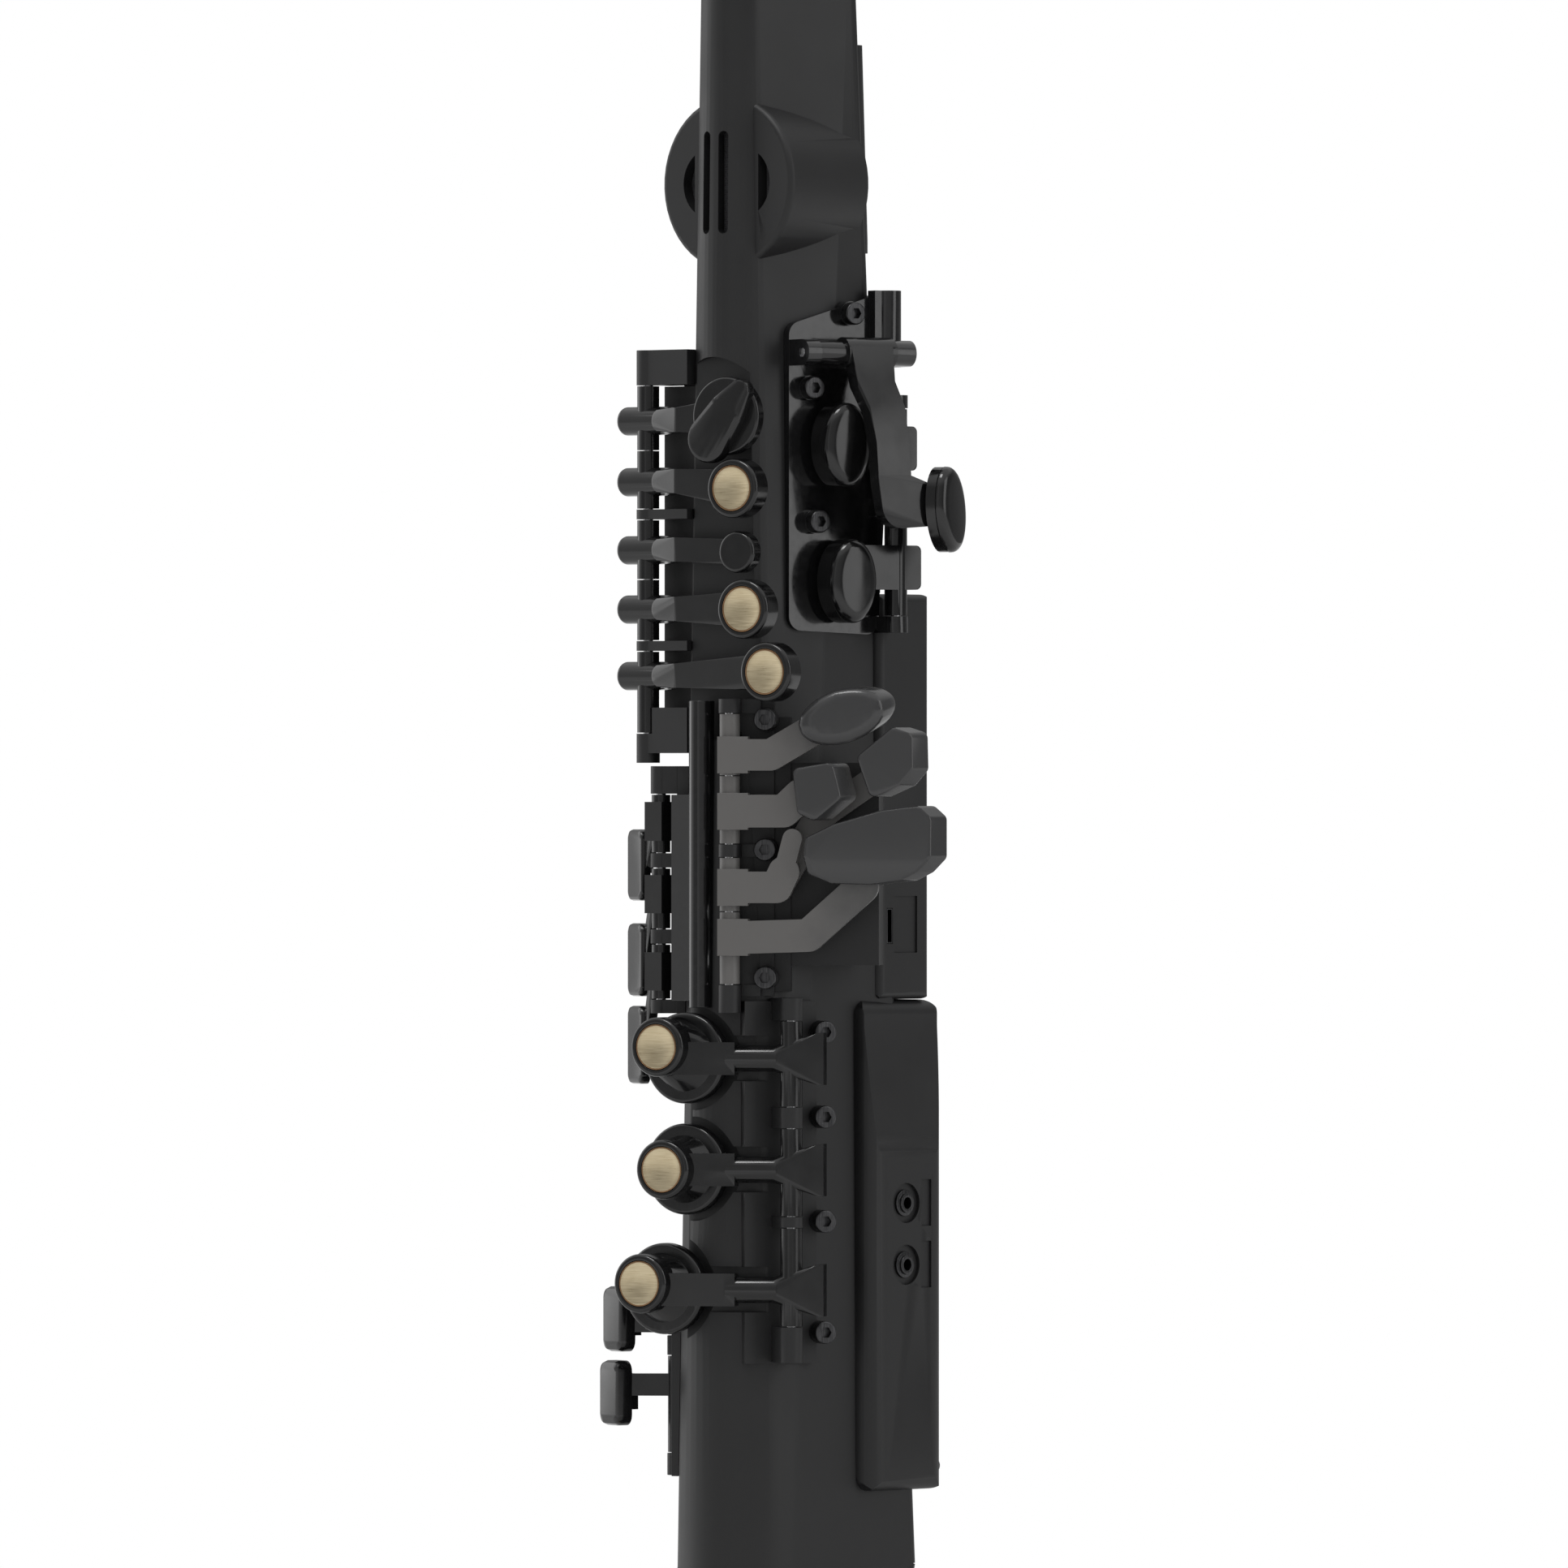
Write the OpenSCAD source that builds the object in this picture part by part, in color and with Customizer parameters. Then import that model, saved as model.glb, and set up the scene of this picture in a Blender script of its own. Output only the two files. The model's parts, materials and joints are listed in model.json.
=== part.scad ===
// Digital wind controller in the form of a straight saxophone.
// The origin is the centre of the bell rim, +Z runs up the instrument, -Y is its front
// with the finger pearls, and +X is the side of the palm keys. Millimetres.

/* [Body] */
// Height where the straight body begins above its round foot
body_low = 96; // [92:1:104]
// Height of the top of the body
body_high = 590; // [586:1:598]
// Radius of the rounded front at the foot
nose_r_low = 22; // [21:0.25:22.5]
// Radius of the rounded front at the top
nose_r_high = 12.3; // [12:0.1:12.6]
// Centre of the rounded front at the foot, from the origin plane
nose_y_low = -12.6; // [-13:0.1:-12]
// Centre of the rounded front at the top, from the origin plane
nose_y_high = -16; // [-16.5:0.1:-15.5]
// Half the width across the back at the foot
side_x_low = 28.7; // [28:0.1:29.5]
// Half the width across the back at the top
side_x_high = 22.2; // [21.8:0.1:23]
// Back of the body at the foot
rear_y_low = 34.7; // [34:0.1:35.5]
// Back of the body at the top
rear_y_high = 13.7; // [13:0.1:14.5]
// Radius of the long back edges
corner_r = 4; // [3:0.5:5]
// Wall of the rounded front
nose_wall = 6; // [5:0.5:6.5]
// Wall of the sides
side_wall = 2.5; // [2:0.25:3]
// Thickness of the rear cover
cover_t = 3; // [2.5:0.25:3.5]

/* [Bell] */
// Outer radius of the bell rim
bell_r = 41.5; // [40:0.5:45]
// Radius of the bell where it enters the body
bell_throat_r = 27; // [25:0.5:28]
// Height of the seam between bell and body
bell_h = 54; // [50:1:58]
// Wall of the bell
bell_wall = 1.4; // [1.2:0.1:2]

/* [Neck and mouthpiece] */
// Outer radius of the neck tube
neck_r = 8.6; // [8.4:0.1:9]
// Bore radius of the neck tube
neck_bore_r = 5.5; // [4:0.5:6]
// Radius of the bend in the neck
neck_bend_r = 60; // [50:2:70]
// Lean of the mouthpiece towards the player, degrees
neck_lean = 20; // [14:1:24]
// Length of the cork on the neck
cork_l = 24; // [20:1:28]
// Outer radius of the cork
cork_r = 8; // [7.6:0.1:8.2]
// Outer radius of the mouthpiece shank
mouthpiece_r = 12.6; // [12:0.1:13.5]
// Length of the mouthpiece
mouthpiece_l = 86; // [78:1:90]
// Thickness of the ligature band
ligature_t = 0.8; // [0.6:0.1:1.2]

/* [Speaker] */
// Height of the speaker's centre
speaker_z = 521; // [516:1:524]
// Radius of the round speaker ears beside the body
ear_r = 26.7; // [26:0.1:28]
// Radius of the ears' rounded front edge
ear_fillet = 1.9; // [1:0.1:3]
// Radius of the speaker's chamber inside the shell
chamber_r = 19; // [18:0.5:20]

/* [Keys] */
// Radius of the steel hinge rods
rod_r = 1.5; // [1.2:0.1:1.7]
// Radius of the key tubes that turn on the rods
tube_r = 3.4; // [3.1:0.1:3.5]
// Radial clearance of a key tube on its rod
rod_clear = 0.05; // [0.03:0.01:0.08]
// Radius of a brass pearl
pearl_r = 7.1; // [6.6:0.1:7.4]
// Radius of the black ring around a pearl
ring_r = 9.1; // [8.8:0.1:9.4]
// Thickness of the flat part of a key arm
arm_t = 4; // [3.4:0.1:4.2]
// Radius of the round arm ends of the left-hand stack
barrel_r = 4.4; // [4.3:0.1:4.7]
// Radius of the large cups of the right-hand stack
cup_r = 14; // [13:0.25:14.5]
// Gap between a key tube and the post beside it
end_gap = 0.3; // [0.3:0.05:0.4]

/* [Rods] */
// Stand-off of the left-hand rod from the rounded front
lh_off = 15.2; // [14.3:0.1:15.2]
// Stand-off of the table rod from the rounded front
table_off = 6.5; // [6.3:0.1:7]
// Stand-off of the right-hand rod from the rounded front
rh_off = 10; // [9.6:0.1:10.6]
// Stand-off of the side-key rod from the rounded front
side_off = 8.4; // [8.2:0.1:8.8]
// Stand-off of the low-key rod from the rounded front
low_off = 4.2; // [4:0.1:4.6]

/* [Rear] */
// Half the width of the control housing
control_x = 27.5; // [27:0.25:29]
// Back face of the control housing
control_y = 41; // [40:0.5:43]
// Half the width of the battery housing
battery_x = 32; // [31:0.25:33]
// Back face of the battery housing
battery_y = 44; // [43:0.5:46]
// Radius of one battery cell
cell_r = 7.1; // [6.9:0.05:7.25]
// Length of one battery cell
cell_l = 50.5; // [49:0.25:51]
// Bore radius of the audio jacks
jack_r = 1.8; // [1.7:0.05:1.9]
// Bore radius of the strap ring
strap_r = 5.5; // [5:0.25:6]

/* [Hidden] */
$fn = 48;
thin = 0.02;
seat = 0.1;
big = 300;

// Colours
BLACK = "#1c1c1d";
GLOSS = "#101011";
BRASS = "#b49a5a";
STEEL = "#9a9a9c";

// Body outline: each value runs evenly from the foot to the top
function along(low, high, z) = low + (high - low) * (z - body_low) / (body_high - body_low);
function nose_r(z) = along(nose_r_low, nose_r_high, z);
function nose_y(z) = along(nose_y_low, nose_y_high, z);
function side_x(z) = along(side_x_low, side_x_high, z);
function rear_y(z) = along(rear_y_low, rear_y_high, z);
rear_tilt = atan2(rear_y_low - rear_y_high, body_high - body_low);

// A point off the rounded front at height z, az degrees from the front towards +X
function off_nose(z, az, off) =
    [(nose_r(z) + off) * sin(az), nose_y(z) - (nose_r(z) + off) * cos(az)];

// Lean of the flat side from the front-back line at height z
function side_lean(z) =
    let (dx = side_x(z) - corner_r, dy = rear_y(z) - corner_r - nose_y(z))
    atan2(dx, dy) - asin((nose_r(z) - corner_r) / norm([dx, dy]));

// Oval button with a domed top, rx by ry across and h high
module oval_pad(rx, ry, h) {
    hull() for (step = [[0, h - 2.6], [0.4, h - 1.5], [1.6, h - 0.5], [3.6, h]])
        linear_extrude(step[1])
            polygon([for (a = [0:10:350]) [(rx - step[0]) * cos(a), (ry - step[0]) * sin(a)]]);
}

// Children are drawn facing az: x along the surface, y up the instrument, z outward
module facing(p, az) {
    translate([p[0], p[1], 0]) rotate([90, 0, az]) children();
}

// Children lie on the flat side at height z: x runs back from the nose, y up, z outward
module on_side(z) {
    lean = side_lean(z);
    translate([nose_r(z) * cos(lean), nose_y(z) - nose_r(z) * sin(lean), z])
        rotate([90, 0, 90 - lean]) children();
}

// Children lie on the back: x to the right seen from behind, y up, z outward
module on_back(z) {
    translate([0, rear_y(z), z]) rotate([90 - rear_tilt, 0, 180]) children();
}

// Full body outline between two heights, grown all round
module body_form(z_low, z_high, grow) {
    hull() for (z = [z_low, z_high - thin]) {
        translate([0, nose_y(z), z]) cylinder(r = nose_r(z) + grow, h = thin);
        for (side = [-1, 1])
            translate([side * (side_x(z) - corner_r), rear_y(z) - corner_r, z])
                cylinder(r = corner_r + grow, h = thin, $fn = 24);
    }
}

// Everything above the foot and behind a plane that lies depth inside the back face
module behind_back(depth) {
    on_back(body_low) translate([-big / 2, 0, -depth]) cube([big, body_high, big / 4]);
}

// A box given by its two corners
module box(low, high) {
    translate(low) cube(high - low);
}

// A disc with a rounded upper edge, standing on z = 0
module button_disc(r, h, edge) {
    rotate_extrude() {
        square([r - edge, h]);
        square([r, h - edge]);
        translate([r - edge, h - edge]) intersection() {
            circle(r = edge, $fn = 24);
            square(edge);
        }
    }
}

// The same disc with its edge in two flats, for blending into a hull
module soft_disc(r, h, edge) {
    rotate_extrude($fn = 28)
        polygon([[0, 0], [r, 0], [r, h - edge], [r - edge * 0.3, h - edge * 0.3], [r - edge, h], [0, h]]);
}

// Left-hand stack values: height of each arm, and of the posts between the key tubes
lh_mid = 405;
lh_az = -66.3;
lh_rod = off_nose(lh_mid, lh_az, lh_off);
lh_arm_z = [448.25, 429.5, 408.5, 390.25, 369.75];
lh_post = [[459.25, 470], [418, 421], [377.5, 380.5], [343, 352]];
lh_tube_z = [[439.3, 458.95], [421.3, 439], [399.6, 417.7], [380.8, 399.3], [352.3, 377.2]];
lh_face_az = 8.5;
lh_front = nose_y(lh_mid) - nose_r(lh_mid);
lh_touch = [[8, lh_front - 3, 449.2], [12.6, lh_front - 3, 427], [12.7, lh_front - 3, 407.5],
    [16.8, lh_front - 3, 390], [26.5, lh_front - 3.4, 370.75]];
rail_front = 6.6;
floor_depth = 4.4;

// Right-hand stack values
rh_mid = 218;
rh_az = 68.7;
rh_rod = off_nose(rh_mid, rh_az, rh_off);
rh_arm_az = 30.2;
rh_base_az = 62;
rh_face_az = 12;
rh_cup_z = [252.5, 218.5, 181.75];
rh_post = [[264.2, 271], [231.3, 237.6], [200.9, 204.1], [159.5, 170.4]];
rh_tube_z = [[237.9, 263.9], [204.4, 231], [170.7, 200.6]];
rh_pearl_z = [256, 218.5, 183.5];
rh_cup_x = [-8.7, -8.7, -16.1];
rh_pearl_x = [-12.7, -10.8, -18.7];
rh_pearl_rise = 9.4;
rh_cup_rise = 3.6;
rh_well = 3;

// Pinky table values
table_mid = 315;
table_rod_az = 29.9;
table_rod = off_nose(table_mid, table_rod_az, table_off);
table_az = 36;
table_post = [[358.2, 362.5], [314.2, 318], [266.5, 275]];
table_tube_z = [[339.2, 357.9], [318.3, 338.9], [297.6, 313.9], [275.3, 297.3]];
table_lever_z = [[339.75, 351], [322.5, 333.75], [299.25, 310.5], [284, 295.25]];
table_screw_z = [356.2, 316.4, 277.25];
table_drop = 6.8;

// Side and low key values
side_mid = 300;
side_az = -56.6;
side_rod = off_nose(side_mid, side_az, side_off);
side_post = [[333.5, 342], [310.8, 315.2], [287.4, 291.8], [266, 270.2]];
side_tube_z = [[315.5, 333.2], [292.1, 310.5], [270.5, 287.1]];
side_block_z = [[319, 331], [296.75, 308.5], [273, 284.75]];
side_touch_z = [[300.5, 322.5], [271, 293.5], [244, 268]];
side_reach = [-16, 8.5];
low_mid = 150;
low_az = -76.6;
low_rod = off_nose(low_mid, low_az, low_off);
low_post = [[186, 189.2], [160.6, 166.6], [123.6, 130.4]];
low_tube_z = [[166.9, 185.7], [130.7, 160.3]];
low_tube_r = 2.6;
low_arm_z = [170.5, 151];
low_touch = [[-16.6, -6.5, 171.5], [-16.6, -8, 148.75]];

// Palm values on the flat side: x runs back, y is height above palm_z, z is outward
palm_z = 435;
palm_rod_x = 39.5;
palm_rod_n = 9.5;
palm_top_n = 3;
palm_f_n = 11;
palm_f_y = 33.75;
palm_lug_y = [[-52, -47], [-16, -11], [17, 21]];
palm_screw = [[26, 46], [11, 23], [13, -18]];

// Rear values
control_z = [270.2, 395];
control_front = 17;
port_y = [20.4, 23];
port_z = [287.4, 298.2];
battery_z = [119, 270];
flare_x = control_x + 1.5;
tray_z = [136, 247];
tray_x = 18.5;
wall = 1.8;
cell_y = battery_y - 11;
door_t = 2.4;
octave_z = 474;
octave_n = 6;
thumb_z = 424;
stick_z = 403.5;
stick_n = 5.8;
strap_z = 312;
hook_z = 288;
neck_foot = body_high + 8;
neck_y = (nose_y(body_high) + rear_y(body_high)) / 2;
reed_y = 10.4;
mouthpiece_z = 1.5;
beak_z = 40;
button_z = 384;
rocker_z = 332;
window_z = [345, 372];
jack_z = [188.5, 207.5];

// Children stand on the speaker's axis with z running to the front
module on_speaker() {
    translate([0, rear_y(speaker_z) - corner_r, speaker_z]) rotate([90, 0, 0]) children();
}
ear_depth = rear_y(speaker_z) - corner_r - nose_y(speaker_z) + 7.5;

// The port and the way cut for it
module port_way(grow) {
    box([control_x - 7.5 - 5 * grow, port_y[0] - grow, port_z[0] - grow],
        [control_x + 10 * grow, port_y[1] + grow, port_z[1] + grow]);
}

// Long slot with round ends, centred, cutting along z
module slot(w, h, d) {
    for (end = [-1, 1]) translate([0, end * (h - w) / 2, 0]) cylinder(d = w, h = d);
    translate([-w / 2, -(h - w) / 2, 0]) cube([w, h - w, d]);
}

module nose_recess() {
    z_low = 350;
    arc_z = 451.5;
    facing([0, nose_y(lh_mid)], lh_face_az) {
        box([-30, z_low, nose_r(lh_mid) - floor_depth], [14, arc_z, 60]);
        translate([-2, arc_z, nose_r(lh_mid) - floor_depth]) cylinder(r = 16, h = 60);
    }
}

// Children stand on the front of the body where the right-hand cups are
module on_rh_front(x, z) {
    facing([0, nose_y(rh_mid)], rh_face_az) translate([x, z, nose_r(rh_mid)]) children();
}

module rh_wells() {
    for (i = [0:2]) on_rh_front(rh_cup_x[i], rh_cup_z[i]) translate([0, 0, -rh_well])
        cylinder(r = cup_r + 2, h = 30);
    for (i = [0:2]) facing(rh_rod, rh_arm_az)
        box([-40, rh_cup_z[i] - 7, -5.2], [-4, rh_cup_z[i] + 7, 20]);
}

module front_shell() color(BLACK) difference() {
    union() {
        body_form(body_low, body_high, 0);
        hull() {
            body_form(body_low - 2 * thin, body_low, 0);
            translate([0, 0, bell_h]) cylinder(r = bell_throat_r + 9, h = 4);
        }
        on_speaker() button_disc(ear_r, ear_depth, ear_fillet);
        translate([0, neck_y, body_high - 1]) cylinder(r = neck_r + 4, h = 9);
    }
    hull() {
        translate([0, 0, bell_h - 1]) cylinder(r = bell_throat_r + 3.2, h = 3);
        translate([0, 0, body_low - 10]) cylinder(r = nose_r(body_low), h = 1);
    }
    hull() for (z = [body_low + side_wall, body_high - 6]) {
        translate([0, nose_y(z), z]) cylinder(r = nose_r(z) - nose_wall, h = thin, $fn = 32);
        for (side = [-1, 1])
            translate([side * (side_x(z) - corner_r), rear_y(z) - corner_r, z])
                cylinder(r = corner_r - side_wall, h = thin, $fn = 24);
    }
    translate([0, 0, bell_h - 1]) cylinder(r = bell_throat_r + 3 + seat, h = 7.5);
    on_speaker() cylinder(r = chamber_r, h = ear_depth - 4);
    port_way(0.1);
    behind_back(cover_t);
    nose_recess();
    rh_wells();
    translate([0, neck_y, body_high - 8]) cylinder(r = neck_r + seat, h = 20);
    for (az = [-13.2, 15.4]) facing([0, nose_y(speaker_z)], az)
        translate([0, speaker_z, nose_r(speaker_z) - 4.5]) slot(3.4, 31.5, 10);
    for (side = [-1, 1]) facing([0, nose_y(speaker_z) - 2], 0) intersection() {
        translate([side * 7.1, speaker_z, 0]) cylinder(r = 10.6, h = 20);
        box([side > 0 ? 13 : -40, speaker_z - 20, 0], [side > 0 ? 40 : -13, speaker_z + 20, 20]);
    }
}

module rear_cover() color(BLACK) difference() {
    union() {
        intersection() {
            body_form(body_low + 0.3, body_high - 0.3, 0);
            behind_back(cover_t - seat);
        }
        for (x = [-13, 13]) for (z = [330, 470]) on_back(z)
            translate([x, 0, -10]) cylinder(r = 2.5, h = 8);
        difference() {
            hull() for (x = [-15, 15]) {
                for (z = [500, 560]) translate([x, rear_y(z) - 1, z]) cylinder(r = 6, h = 4);
                for (z = [502.5, 557.5]) translate([x * 0.85, rear_y(z) + 1.2, z]) cylinder(r = 5.6, h = 4);
                for (z = [506.5, 553.5]) translate([x * 0.7, rear_y(z) + 2, z]) cylinder(r = 5, h = 4);
            }
            on_back(body_low) translate([-big / 2, 0, -big - 1]) cube([big, body_high, big]);
        }
        on_back(speaker_z) translate([0, 0, -8]) cylinder(r = 6, h = 6);
    }
    box([-tray_x - 0.3, 0, tray_z[0] - 0.3], [tray_x + 0.3, 60, tray_z[1] + 0.3]);
}

// Flat rectangle with round corners, given by two of its corners
module rounded_rectangle(low, high, r) {
    translate([low[0] + r, low[1]]) square([high[0] - low[0] - 2 * r, high[1] - low[1]]);
    translate([low[0], low[1] + r]) square([high[0] - low[0], high[1] - low[1] - 2 * r]);
    for (x = [low[0] + r, high[0] - r]) for (y = [low[1] + r, high[1] - r]) translate([x, y]) circle(r = r);
}

// Box with all its edges rounded, standing on the back of the body
module rear_block(x_half, y_back, z_span, y_front, edge, upright) intersection() {
    translate([0, 0, z_span[0]]) linear_extrude(z_span[1] - z_span[0])
        rounded_rectangle([-x_half, y_front], [x_half, y_back], upright);
    rotate([90, 0, 90]) translate([0, 0, -x_half - 1]) linear_extrude(2 * x_half + 2)
        rounded_rectangle([y_front, z_span[0]], [y_back, z_span[1]], edge - 0.4);
    rotate([90, 0, 0]) translate([0, 0, -y_back - 1]) linear_extrude(y_back + 2)
        rounded_rectangle([-x_half, z_span[0]], [x_half, z_span[1]], edge - 0.2);
}

// Front view of the battery housing: it flares from the width of the housing above it
module battery_front() rotate([90, 0, 0]) translate([0, 0, -battery_y - 1]) linear_extrude(battery_y + 2) {
    rounded_rectangle([-battery_x, battery_z[0]], [battery_x, 226], 4.6);
    rounded_rectangle([1 - flare_x, 200], [flare_x - 1, battery_z[1]], 4.6);
    polygon([[-battery_x, 216], [1 - flare_x, 262], [flare_x - 1, 262], [battery_x, 216]]);
}

module control_housing() color(BLACK) difference() {
    rear_block(control_x, control_y, control_z, control_front, 3, 3);
    body_form(body_low, body_high, seat);
    box([-control_x + wall, rear_y(control_z[0]) + 2, control_z[0] + 4],
        [control_x - wall, control_y - 3, control_z[1] - 4]);
    // window recess, rocker recess and button hole
    box([-11.2, control_y - 1.2, window_z[0]], [11.2, control_y + 1, window_z[1]]);
    box([-5.3, control_y - 2.2, rocker_z - 7.3], [5.3, control_y + 1, rocker_z + 7.3]);
    translate([0, control_y + 1, button_z]) rotate([90, 0, 0]) {
        cylinder(r = 4.3, h = 3.2);
        cylinder(r = 2.3, h = 6);
    }
    // label recess and port opening on the right side
    box([control_x - 0.6, 23.8, 284.5], [control_x + 1, 34.5, 302]);
    port_way(0.1);
}

module display_window() color("#0b0d10")
    box([-11, control_y - 1.2, window_z[0] + 0.2], [11, control_y - 0.1, window_z[1] - 0.2]);

module power_button() color(BLACK) translate([0, control_y + 1, button_z]) rotate([90, 0, 0]) {
    cylinder(r = 4, h = 1.9);
    cylinder(r = 2, h = 5);
    translate([0, 0, 4.3]) cylinder(r = 3, h = 1);
}

module menu_rocker() color(BLACK) difference() {
    union() {
        box([-5, control_y - 1, rocker_z - 7], [5, control_y + 0.8, rocker_z + 7]);
        translate([0, control_y - 1, rocker_z]) rotate([0, 90, 0]) cylinder(r = 0.9, h = 10, center = true);
    }
    translate([0, control_y + 12.5, rocker_z]) rotate([0, 90, 0]) cylinder(r = 12, h = 12, center = true);
}

module battery_housing() color(BLACK) difference() {
    union() {
        difference() {
            intersection() {
                rear_block(battery_x, battery_y, battery_z, 8.5, 5, 7);
                battery_front();
            }
            body_form(body_low, body_high, seat);
            box([-tray_x, 10, tray_z[0]], [tray_x, 60, tray_z[1]]);
        }
        box([-tray_x, cell_y - cell_r - wall - 0.3, tray_z[0]], [tray_x, battery_y - door_t - 0.3, tray_z[1]]);
    }
    box([-tray_x + wall, cell_y - cell_r - 0.3, tray_z[0] + wall],
        [tray_x - wall, battery_y + 1, tray_z[1] - wall]);
    box([-tray_x, battery_y - door_t - 0.3, tray_z[0]], [tray_x, battery_y + 1, tray_z[1]]);
    for (z = jack_z) translate([battery_x, 24.3, z]) rotate([0, 90, 0]) {
        translate([0, 0, -1.2]) cylinder(r = 6.2, h = 4);
        translate([0, 0, -5]) cylinder(r = 4.1, h = 5);
    }
    for (z = jack_z) box([battery_x - 0.7, 31.4, z - 7.2], [battery_x + 1, 36, z + 7.2]);
}

module battery_door() color(BLACK) difference() {
    box([-tray_x + 0.3, battery_y - door_t, tray_z[0] + 0.3], [tray_x - 0.3, battery_y, tray_z[1] - 0.3]);
    for (i = [0:4]) box([-8, battery_y - 0.6, 228 + 2.6 * i], [8, battery_y + 1, 229.2 + 2.6 * i]);
}

module batteries() color("#4d6272") for (x = [-1, 1]) for (i = [0, 1])
    translate([x * (cell_r + 0.6), cell_y, tray_z[0] + wall + 1.2 + i * (cell_l + 2)]) {
        cylinder(r = cell_r, h = cell_l - 1.2);
        cylinder(r = 2.6, h = cell_l);
    }

module audio_jacks() color(STEEL) for (z = jack_z)
    translate([battery_x - 4.2, 24.3, z]) rotate([0, 90, 0]) difference() {
        union() {
            cylinder(r = 4.05, h = 3.8);
            cylinder(r = 3, h = 4.8);
        }
        translate([0, 0, -1]) cylinder(r = jack_r, h = 8);
    }

module usb_port() color(STEEL) difference() {
    port_way(0);
    box([control_x - 6.5, port_y[0] + 0.4, port_z[0] + 0.4], [control_x + 1, port_y[1] - 0.4, port_z[1] - 0.4]);
}

module speaker_driver() color("#3a3a3c") on_back(speaker_z) translate([0, 0, -8.1]) mirror([0, 0, 1]) {
    difference() {
        union() {
            cylinder(r = 9, h = 5);
            rotate_extrude() polygon([[0, 4], [9, 4], [16, 13], [17, 13], [17, 15], [0, 15]]);
        }
        translate([0, 0, 8]) cylinder(r1 = 5, r2 = 15, h = 8);
    }
}

module main_board() color("#1d5a3a") on_back(400) difference() {
    box([-16, -78, -11.6], [16, 78, -10]);
    translate([0, 0, -12]) cylinder(r = 3, h = 3);
}

module breath_sensor() color("#2b2b2d") translate([0, neck_y, body_high - 30]) difference() {
    union() {
        cylinder(r = 3, h = 22);
        translate([0, 0, 20.4]) cylinder(r = 8, h = 1.6);
        box([-6, -5, -6], [6, 5, 2]);
    }
    translate([0, 0, 3]) cylinder(r = 1.6, h = 30);
}

module bell() color(BRASS) rotate_extrude($fn = 96) {
    steps = 14;
    curve = [for (i = [0:steps]) let (t = i / steps)
        [bell_throat_r + 6 + (bell_r - bell_throat_r - 7.2) * pow(1 - t, 2.4), 4 + (bell_h - 4) * t]];
    polygon(concat([[bell_r, 0], [bell_r, 3.2]], [for (p = curve) p],
        [[bell_throat_r + 3, bell_h], [bell_throat_r + 3, bell_h + 6],
            [bell_throat_r + 3 - bell_wall, bell_h + 6]],
        [for (i = [steps:-1:0]) [curve[i][0] - bell_wall - (i == steps ? 3 : 0), curve[i][1]]],
        [[bell_r - 2.6, 4], [bell_r - 2.6, 0]]));
}

module neck() color(BLACK) difference() {
    union() {
        translate([0, neck_y, body_high - 7.8]) cylinder(r = neck_r, h = neck_foot - body_high + 7.8);
        translate([0, neck_y, neck_foot + 0.2]) cylinder(r = neck_r + 3, h = 4);
        bent_tube(neck_r);
        at_neck_end() cylinder(r = neck_r - 2, h = cork_l + 0.8);
    }
    translate([0, neck_y, body_high - 9]) cylinder(r = neck_bore_r, h = neck_foot - body_high + 9);
    bent_tube(neck_bore_r);
    at_neck_end() translate([0, 0, -1]) cylinder(r = neck_bore_r - 1, h = cork_l + 6);
}

module bent_tube(r) {
    translate([0, neck_y + neck_bend_r, neck_foot]) rotate([90, 0, -90])
        rotate_extrude(angle = neck_lean) translate([neck_bend_r, 0]) circle(r = r);
}

module at_neck_end() {
    translate([0, neck_y + neck_bend_r * (1 - cos(neck_lean)), neck_foot + neck_bend_r * sin(neck_lean)])
        rotate([-neck_lean, 0, 0]) children();
}

module neck_cork() color("#b58a5c") at_neck_end() difference() {
    translate([0, 0, 0.5]) cylinder(r = cork_r, h = cork_l);
    cylinder(r = neck_r - 1.98, h = cork_l + 1);
}

module mouthpiece() color(GLOSS) at_neck_end() translate([0, 0, mouthpiece_z]) difference() {
    rotate_extrude() polygon([[0, 0], [mouthpiece_r + 0.8, 0], [mouthpiece_r + 0.8, 3], [mouthpiece_r, 5],
        [mouthpiece_r - 0.4, 44], [mouthpiece_r - 2.4, mouthpiece_l - 4], [mouthpiece_r - 4.4, mouthpiece_l],
        [0, mouthpiece_l]]);
    translate([0, 0, -1]) cylinder(r = cork_r + rod_clear, h = cork_l + 1);
    translate([0, 0, -1]) cylinder(r = 4, h = 60);
    box([-20, reed_y, 18], [20, 40, 120]);
    hull() {
        translate([-20, -mouthpiece_r, beak_z]) cube([40, 0.1, 0.1]);
        translate([-20, reed_y - 2.2, mouthpiece_l + 0.5]) cube([40, 0.1, 0.1]);
        translate([-20, -40, beak_z]) cube([40, 0.1, 80]);
    }
    box([-5, 3, 44], [5, 20, mouthpiece_l - 14]);
}

module reed() color("#d9cda6") at_neck_end() translate([0, 0, mouthpiece_z]) intersection() {
    cylinder(r = mouthpiece_r + 0.4, h = mouthpiece_l);
    rotate([90, 0, 90]) translate([0, 0, -7.2]) linear_extrude(14.4)
        polygon([[reed_y + 0.02, 20], [reed_y + 3, 20], [reed_y + 3, 52], [reed_y + 0.4, mouthpiece_l - 0.5],
            [reed_y + 0.02, mouthpiece_l - 0.5]]);
}

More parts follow.
